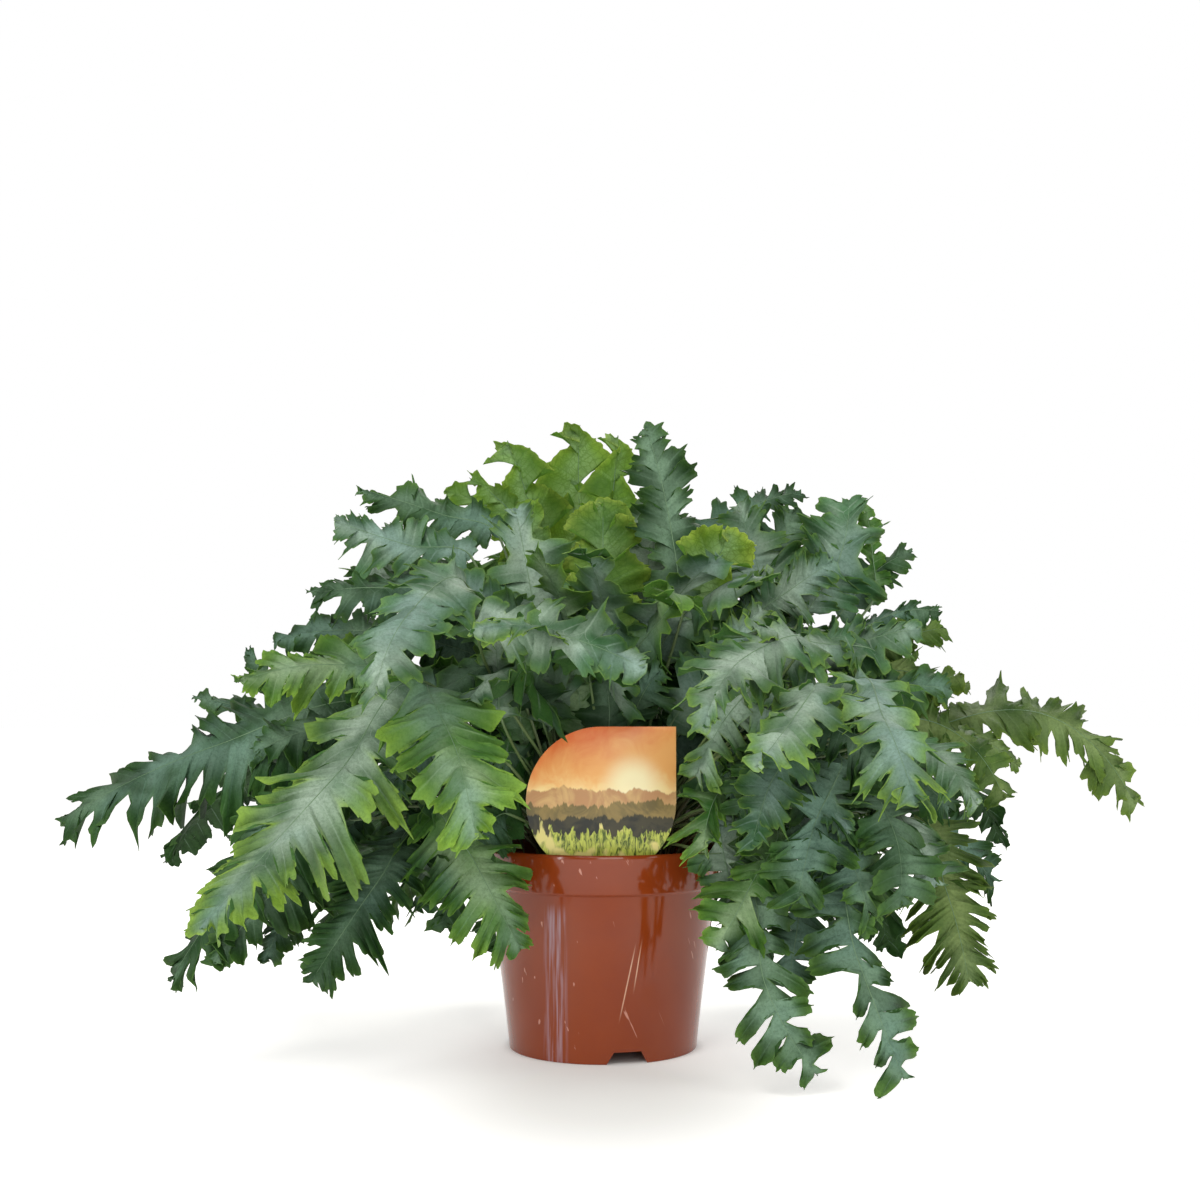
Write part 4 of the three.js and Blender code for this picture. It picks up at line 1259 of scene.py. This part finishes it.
class FERN_OT_dry_stem(bpy.types.Operator):
    """Makes the thin dry stem that arches over the pot's rim"""

    bl_idname = "blue_fern.dry_stem"
    bl_label = "Dry stem"

    def execute(self, context):
        piece, shape = blank("dry_stem")
        foot, top, tip = (at(*point) for point in DRY_STEM)
        shares = [k / DRY_STEPS for k in range(DRY_STEPS + 1)]
        line = [foot * (1 - t) ** 2 + top * 2 * t * (1 - t) + tip * t * t for t in shares]
        radii = [DRY_RADIUS * (1 - 0.5 * t) for t in shares]
        radii[0] = radii[-1] = STEM_TIP_END
        tube(shape, line, frames_along(line, UP), radii)
        fill(piece, shape, straw_finish())
        settle(piece, "leaf_olive")
        return {"FINISHED"}


class FERN_OT_rhizome(bpy.types.Operator):
    """Makes the branched, scaly rhizome that creeps over the mix"""

    bl_idname = "blue_fern.rhizome"
    bl_label = "Rhizome"

    def execute(self, context):
        piece, shape = blank("creeping_stem")
        for arm in ARMS:
            points = [at(*corner, RHIZOME_MIDDLE) for corner in arm]
            line = [through(*points, k / ARM_STEPS) for k in range(ARM_STEPS + 1)]
            radii = []
            for k, point in enumerate(line):
                end = math.sqrt(min(1.0, min(k, ARM_STEPS - k) / 3))
                radii.append(ARM_RADIUS * end * (1 + 0.12 * noise.noise(point * 90)) + 0.00001)
            tube(shape, line, frames_along(line, UP), radii, around=14)
        fill(piece, shape)
        join = piece.modifiers.new("join", "REMESH")
        join.mode = "VOXEL"
        join.voxel_size = 0.0017
        apply_modifiers(piece)
        shape = bmesh.new()
        shape.from_mesh(piece.data)
        bmesh.ops.smooth_vert(
            shape, verts=shape.verts, factor=0.5, use_axis_x=True, use_axis_y=True, use_axis_z=True
        )
        for vert in shape.verts:
            vert.co += vert.normal * noise.noise(vert.co * 320) * 0.0007
        piece.data.materials.clear()
        fill(piece, shape, rhizome_finish())
        settle(piece, "rhizome", "rhizome")
        return {"FINISHED"}


class FERN_OT_tag(bpy.types.Operator):
    """Makes the picture tag: a card with three round corners and one square one, on a pointed stake"""

    bl_idname = "blue_fern.tag"
    bl_label = "Tag"

    def execute(self, context):
        piece, shape = blank("picture_tag")
        made = bmesh.ops.create_circle(shape, cap_ends=True, segments=128, radius=TAG_RADIUS * MM)
        for vert in made["verts"]:
            if vert.co.x > 0 and vert.co.y > 0:
                vert.co /= max(abs(vert.co.x), abs(vert.co.y)) / (TAG_RADIUS * MM)
        upright = Matrix.Rotation(math.pi / 2, 3, "X")
        bmesh.ops.rotate(shape, cent=(0, 0, 0), matrix=upright, verts=shape.verts)
        bmesh.ops.translate(shape, vec=TAG_MIDDLE * MM + at(0, -TAG_THICK / 2, 0), verts=shape.verts)
        pushed = bmesh.ops.extrude_face_region(shape, geom=list(shape.faces))
        back = [item for item in pushed["geom"] if isinstance(item, bmesh.types.BMVert)]
        bmesh.ops.translate(shape, vec=at(0, TAG_THICK, 0), verts=back)
        stake = bmesh.ops.create_cube(shape, size=1)
        low = []
        for vert in stake["verts"]:
            across, inward, up = vert.co
            height = TAG_MIDDLE.z - TAG_RADIUS + 4
            if up < 0:
                low.append(vert)
                height = STAKE_FOOT + STAKE_POINT
            x = TAG_MIDDLE.x + STAKE_WIDTH * across
            vert.co = at(x, TAG_MIDDLE.y + STAKE_THICK * inward, height)
        foot = [face for face in shape.faces if all(v in low for v in face.verts)]
        tip = bmesh.ops.extrude_face_region(shape, geom=foot)
        bmesh.ops.delete(shape, geom=foot, context="FACES_ONLY")
        for item in tip["geom"]:
            if isinstance(item, bmesh.types.BMVert):
                item.co.z = STAKE_FOOT * MM
                item.co.x += (TAG_MIDDLE.x * MM - item.co.x) * 0.9
        bmesh.ops.recalc_face_normals(shape, faces=shape.faces)
        sharp = [edge for edge in shape.edges if edge.calc_face_angle(0) > 0.8]
        bmesh.ops.bevel(
            shape, geom=sharp, offset=0.00015, segments=2, profile=0.5, affect="EDGES", material=-1
        )
        fill(piece, shape, tag_finish())
        settle(piece, "tag", "tag")
        return {"FINISHED"}


class FERN_OT_fronds(bpy.types.Operator):
    """Makes the fronds that stand for the frame's own"""

    bl_idname = "blue_fern.fronds"
    bl_label = "Fronds"

    def execute(self, context):
        for row in FRONDS:
            name = row[0]
            detail = BACK_DETAIL if name.startswith("back_") else FRONT_DETAIL
            grow(row, context.scene.fern_plant, detail, "frond_" + name)
        return {"FINISHED"}


class FERN_OT_fillers(bpy.types.Operator):
    """Makes the smaller fronds that fill the crown"""

    bl_idname = "blue_fern.fillers"
    bl_label = "Filling fronds"

    def execute(self, context):
        for row in FILLERS:
            grow(row, context.scene.fern_plant, BACK_DETAIL)
        return {"FINISHED"}


def crown_rows():
    """Rows like those of the other fronds, for the layers of the crown."""
    feet = []
    for arm in ARMS:
        points = [Vector(corner) for corner in arm]
        feet += [through(*points, k / 8) for k in range(9)]
    draw = random.Random("crown")
    rows = []
    for layer, (count, start, mid, tip, width, lobes, clear) in enumerate(LAYERS):
        for k in range(count):
            turn = -90 + 360 * (k + 0.5 * (layer % 2)) / count + draw.uniform(-9, 9)
            away = abs((turn + 90 + 180) % 360 - 180)
            if away < clear:
                continue
            spread = draw.uniform(0.88, 1.14)
            lift = draw.uniform(-18, 18)
            points = []
            for radius, height in (start, mid, tip):
                way = math.radians(turn + draw.uniform(-7, 7))
                reach = radius * spread
                points.append((reach * math.cos(way), reach * math.sin(way), height + lift))
            way = math.radians(turn)
            want = Vector((math.cos(way), math.sin(way))) * draw.uniform(22, 52)
            foot = min(feet, key=lambda place: (place - want).length)
            green = draw.choice(("deep", "blue", "blue", "pale"))
            face = turn + draw.uniform(-25, 25)
            size = width * draw.uniform(0.85, 1.15)
            name = f"crown_{layer}_{k}"
            rows.append((name, foot, *points, size, lobes, face, draw.uniform(15, 50), green, "spiky"))
    return rows


class FERN_OT_crown(bpy.types.Operator):
    """Makes the layers of small fronds inside the crown"""

    bl_idname = "blue_fern.crown"
    bl_label = "Crown"

    def execute(self, context):
        for row in crown_rows():
            grow(row, context.scene.fern_plant, CROWN_DETAIL)
        return {"FINISHED"}


class FERN_OT_stage(bpy.types.Operator):
    """Makes the white floor with a painted shadow round the pot's foot, the camera and the soft lights"""

    bl_idname = "blue_fern.stage"
    bl_label = "Stage"

    def execute(self, context):
        scene = context.scene
        stage = scene.fern_stage
        floor, shape = blank("floor")
        bmesh.ops.create_grid(shape, x_segments=4, y_segments=4, size=12)
        n = Nodes("floor_white")
        away = n.add("ShaderNodeVectorMath", operation="LENGTH")
        n.join(n.place(), away.inputs[0])
        away = away.outputs["Value"]
        # Painted shadow: the floor's glow is dimmed in an ellipse round the pot's foot, stretched towards the
        # front; far off it glows evenly white.
        shade = n.add("ShaderNodeMapping", vector_type="TEXTURE")
        shade.inputs["Location"].default_value = (0.0, -0.17, 0.0)
        shade.inputs["Scale"].default_value = (0.17, 0.26, 1.0)
        n.join(n.place(), shade.inputs["Vector"])
        shadow_spread = n.add("ShaderNodeVectorMath", operation="LENGTH")
        n.join(shade.outputs[0], shadow_spread.inputs[0])
        near = n.step(shadow_spread.outputs["Value"], 0.2, 1.15, stage.glow * 0.24, stage.glow * 0.88)
        glow = n.math("MAXIMUM", near, n.step(away, 0.3, 1.4, 0.0, stage.glow))
        # Painted contact shadow: the floor gives off no light under the pot, and fades in between 62 and 84
        # mm from its axis.
        glow = n.times(glow, n.step(away, 0.062, 0.084))
        n.feed(n.shader, Base_Color=(0.8, 0.79, 0.77, 1), Roughness=0.8, Specular_IOR_Level=0.1)
        n.feed(n.shader, Emission_Color=(1, 0.995, 0.985, 1), Emission_Strength=glow)
        fill(floor, shape, n.material)

        camera = bpy.data.objects.new("camera", bpy.data.cameras.new("camera"))
        scene.collection.objects.link(camera)
        camera.data.lens = stage.lens
        camera.data.sensor_width = 36
        camera.location = at(*CAMERA)
        camera.rotation_euler = (math.pi / 2 + stage.tilt, 0, 0)
        scene.camera = camera

        world = bpy.data.worlds.new("white_room")
        world.use_nodes = True
        tree = world.node_tree
        room = tree.nodes["Background"]
        seen = tree.nodes.new("ShaderNodeLightPath")
        level = tree.nodes.new("ShaderNodeMapRange")
        tree.links.new(seen.outputs["Is Camera Ray"], level.inputs["Value"])
        level.inputs["To Min"].default_value = stage.sky
        level.inputs["To Max"].default_value = 1.0
        tree.links.new(level.outputs[0], room.inputs["Strength"])
        room.inputs["Color"].default_value = (1, 1, 1, 1)
        scene.world = world
        scene.view_settings.view_transform = "Standard"

        lamps = (
            ("key", (-0.9, -1.5, 1.9), (0, 0, 0.3), (1.4, 1.4), stage.key, (1.0, 0.985, 0.96)),
            ("fill", (1.7, -1.2, 1.0), (0, 0, 0.25), (1.0, 1.4), stage.key * 0.35, (0.95, 0.98, 1.0)),
            ("front", (0.25, -2.1, 0.75), (0, 0, 0.3), (0.9, 0.9), stage.key * 0.3, (1.0, 1.0, 0.98)),
            ("strip", (-1.1, -1.3, 0.35), (0, 0, 0.1), (0.12, 0.9), stage.key * 0.1, (1.0, 1.0, 1.0)),
            ("back", (0.4, 1.6, 1.5), (0, 0, 0.3), (1.6, 1.0), stage.key * 0.6, (1.0, 1.0, 0.96)),
        )
        for name, place, target, size, power, colour in lamps:
            light = bpy.data.lights.new(name, "AREA")
            light.shape = "RECTANGLE"
            light.size, light.size_y = size
            light.energy = power
            light.color = colour
            lamp = bpy.data.objects.new(name, light)
            scene.collection.objects.link(lamp)
            lamp.location = place
            lamp.rotation_euler = (Vector(target) - Vector(place)).to_track_quat("-Z", "Y").to_euler()
        return {"FINISHED"}


class FERN_PT_panel(bpy.types.Panel):
    """Buttons that build the potted blue fern"""

    bl_idname = "FERN_PT_panel"
    bl_label = "Blue Fern"
    bl_space_type = "VIEW_3D"
    bl_region_type = "UI"
    bl_category = "Blue Fern"

    def draw(self, context):
        for operator in STEPS:
            self.layout.operator(operator.bl_idname)
        for group in (context.scene.fern_plant, context.scene.fern_stage):
            for name in group.bl_rna.properties.keys():
                if name not in ("rna_type", "name"):
                    self.layout.prop(group, name)


STEPS = (
    FERN_OT_pot, FERN_OT_mix, FERN_OT_rhizome, FERN_OT_tag, FERN_OT_dry_stem, FERN_OT_fronds, FERN_OT_fillers,
    FERN_OT_crown, FERN_OT_stage,
)
CLASSES = (PlantSettings, StageSettings, *STEPS, FERN_PT_panel)


def register():
    for cls in CLASSES:
        bpy.utils.register_class(cls)
    bpy.types.Scene.fern_plant = bpy.props.PointerProperty(type=PlantSettings)
    bpy.types.Scene.fern_stage = bpy.props.PointerProperty(type=StageSettings)


def unregister():
    del bpy.types.Scene.fern_stage
    del bpy.types.Scene.fern_plant
    for cls in reversed(CLASSES):
        bpy.utils.unregister_class(cls)


def main():
    register()
    bpy.ops.blue_fern.pot()
    bpy.ops.blue_fern.mix()
    bpy.ops.blue_fern.rhizome()
    bpy.ops.blue_fern.tag()
    bpy.ops.blue_fern.dry_stem()
    bpy.ops.blue_fern.fronds()
    bpy.ops.blue_fern.fillers()
    bpy.ops.blue_fern.crown()
    bpy.ops.blue_fern.stage()


if __name__ == "__main__":
    main()
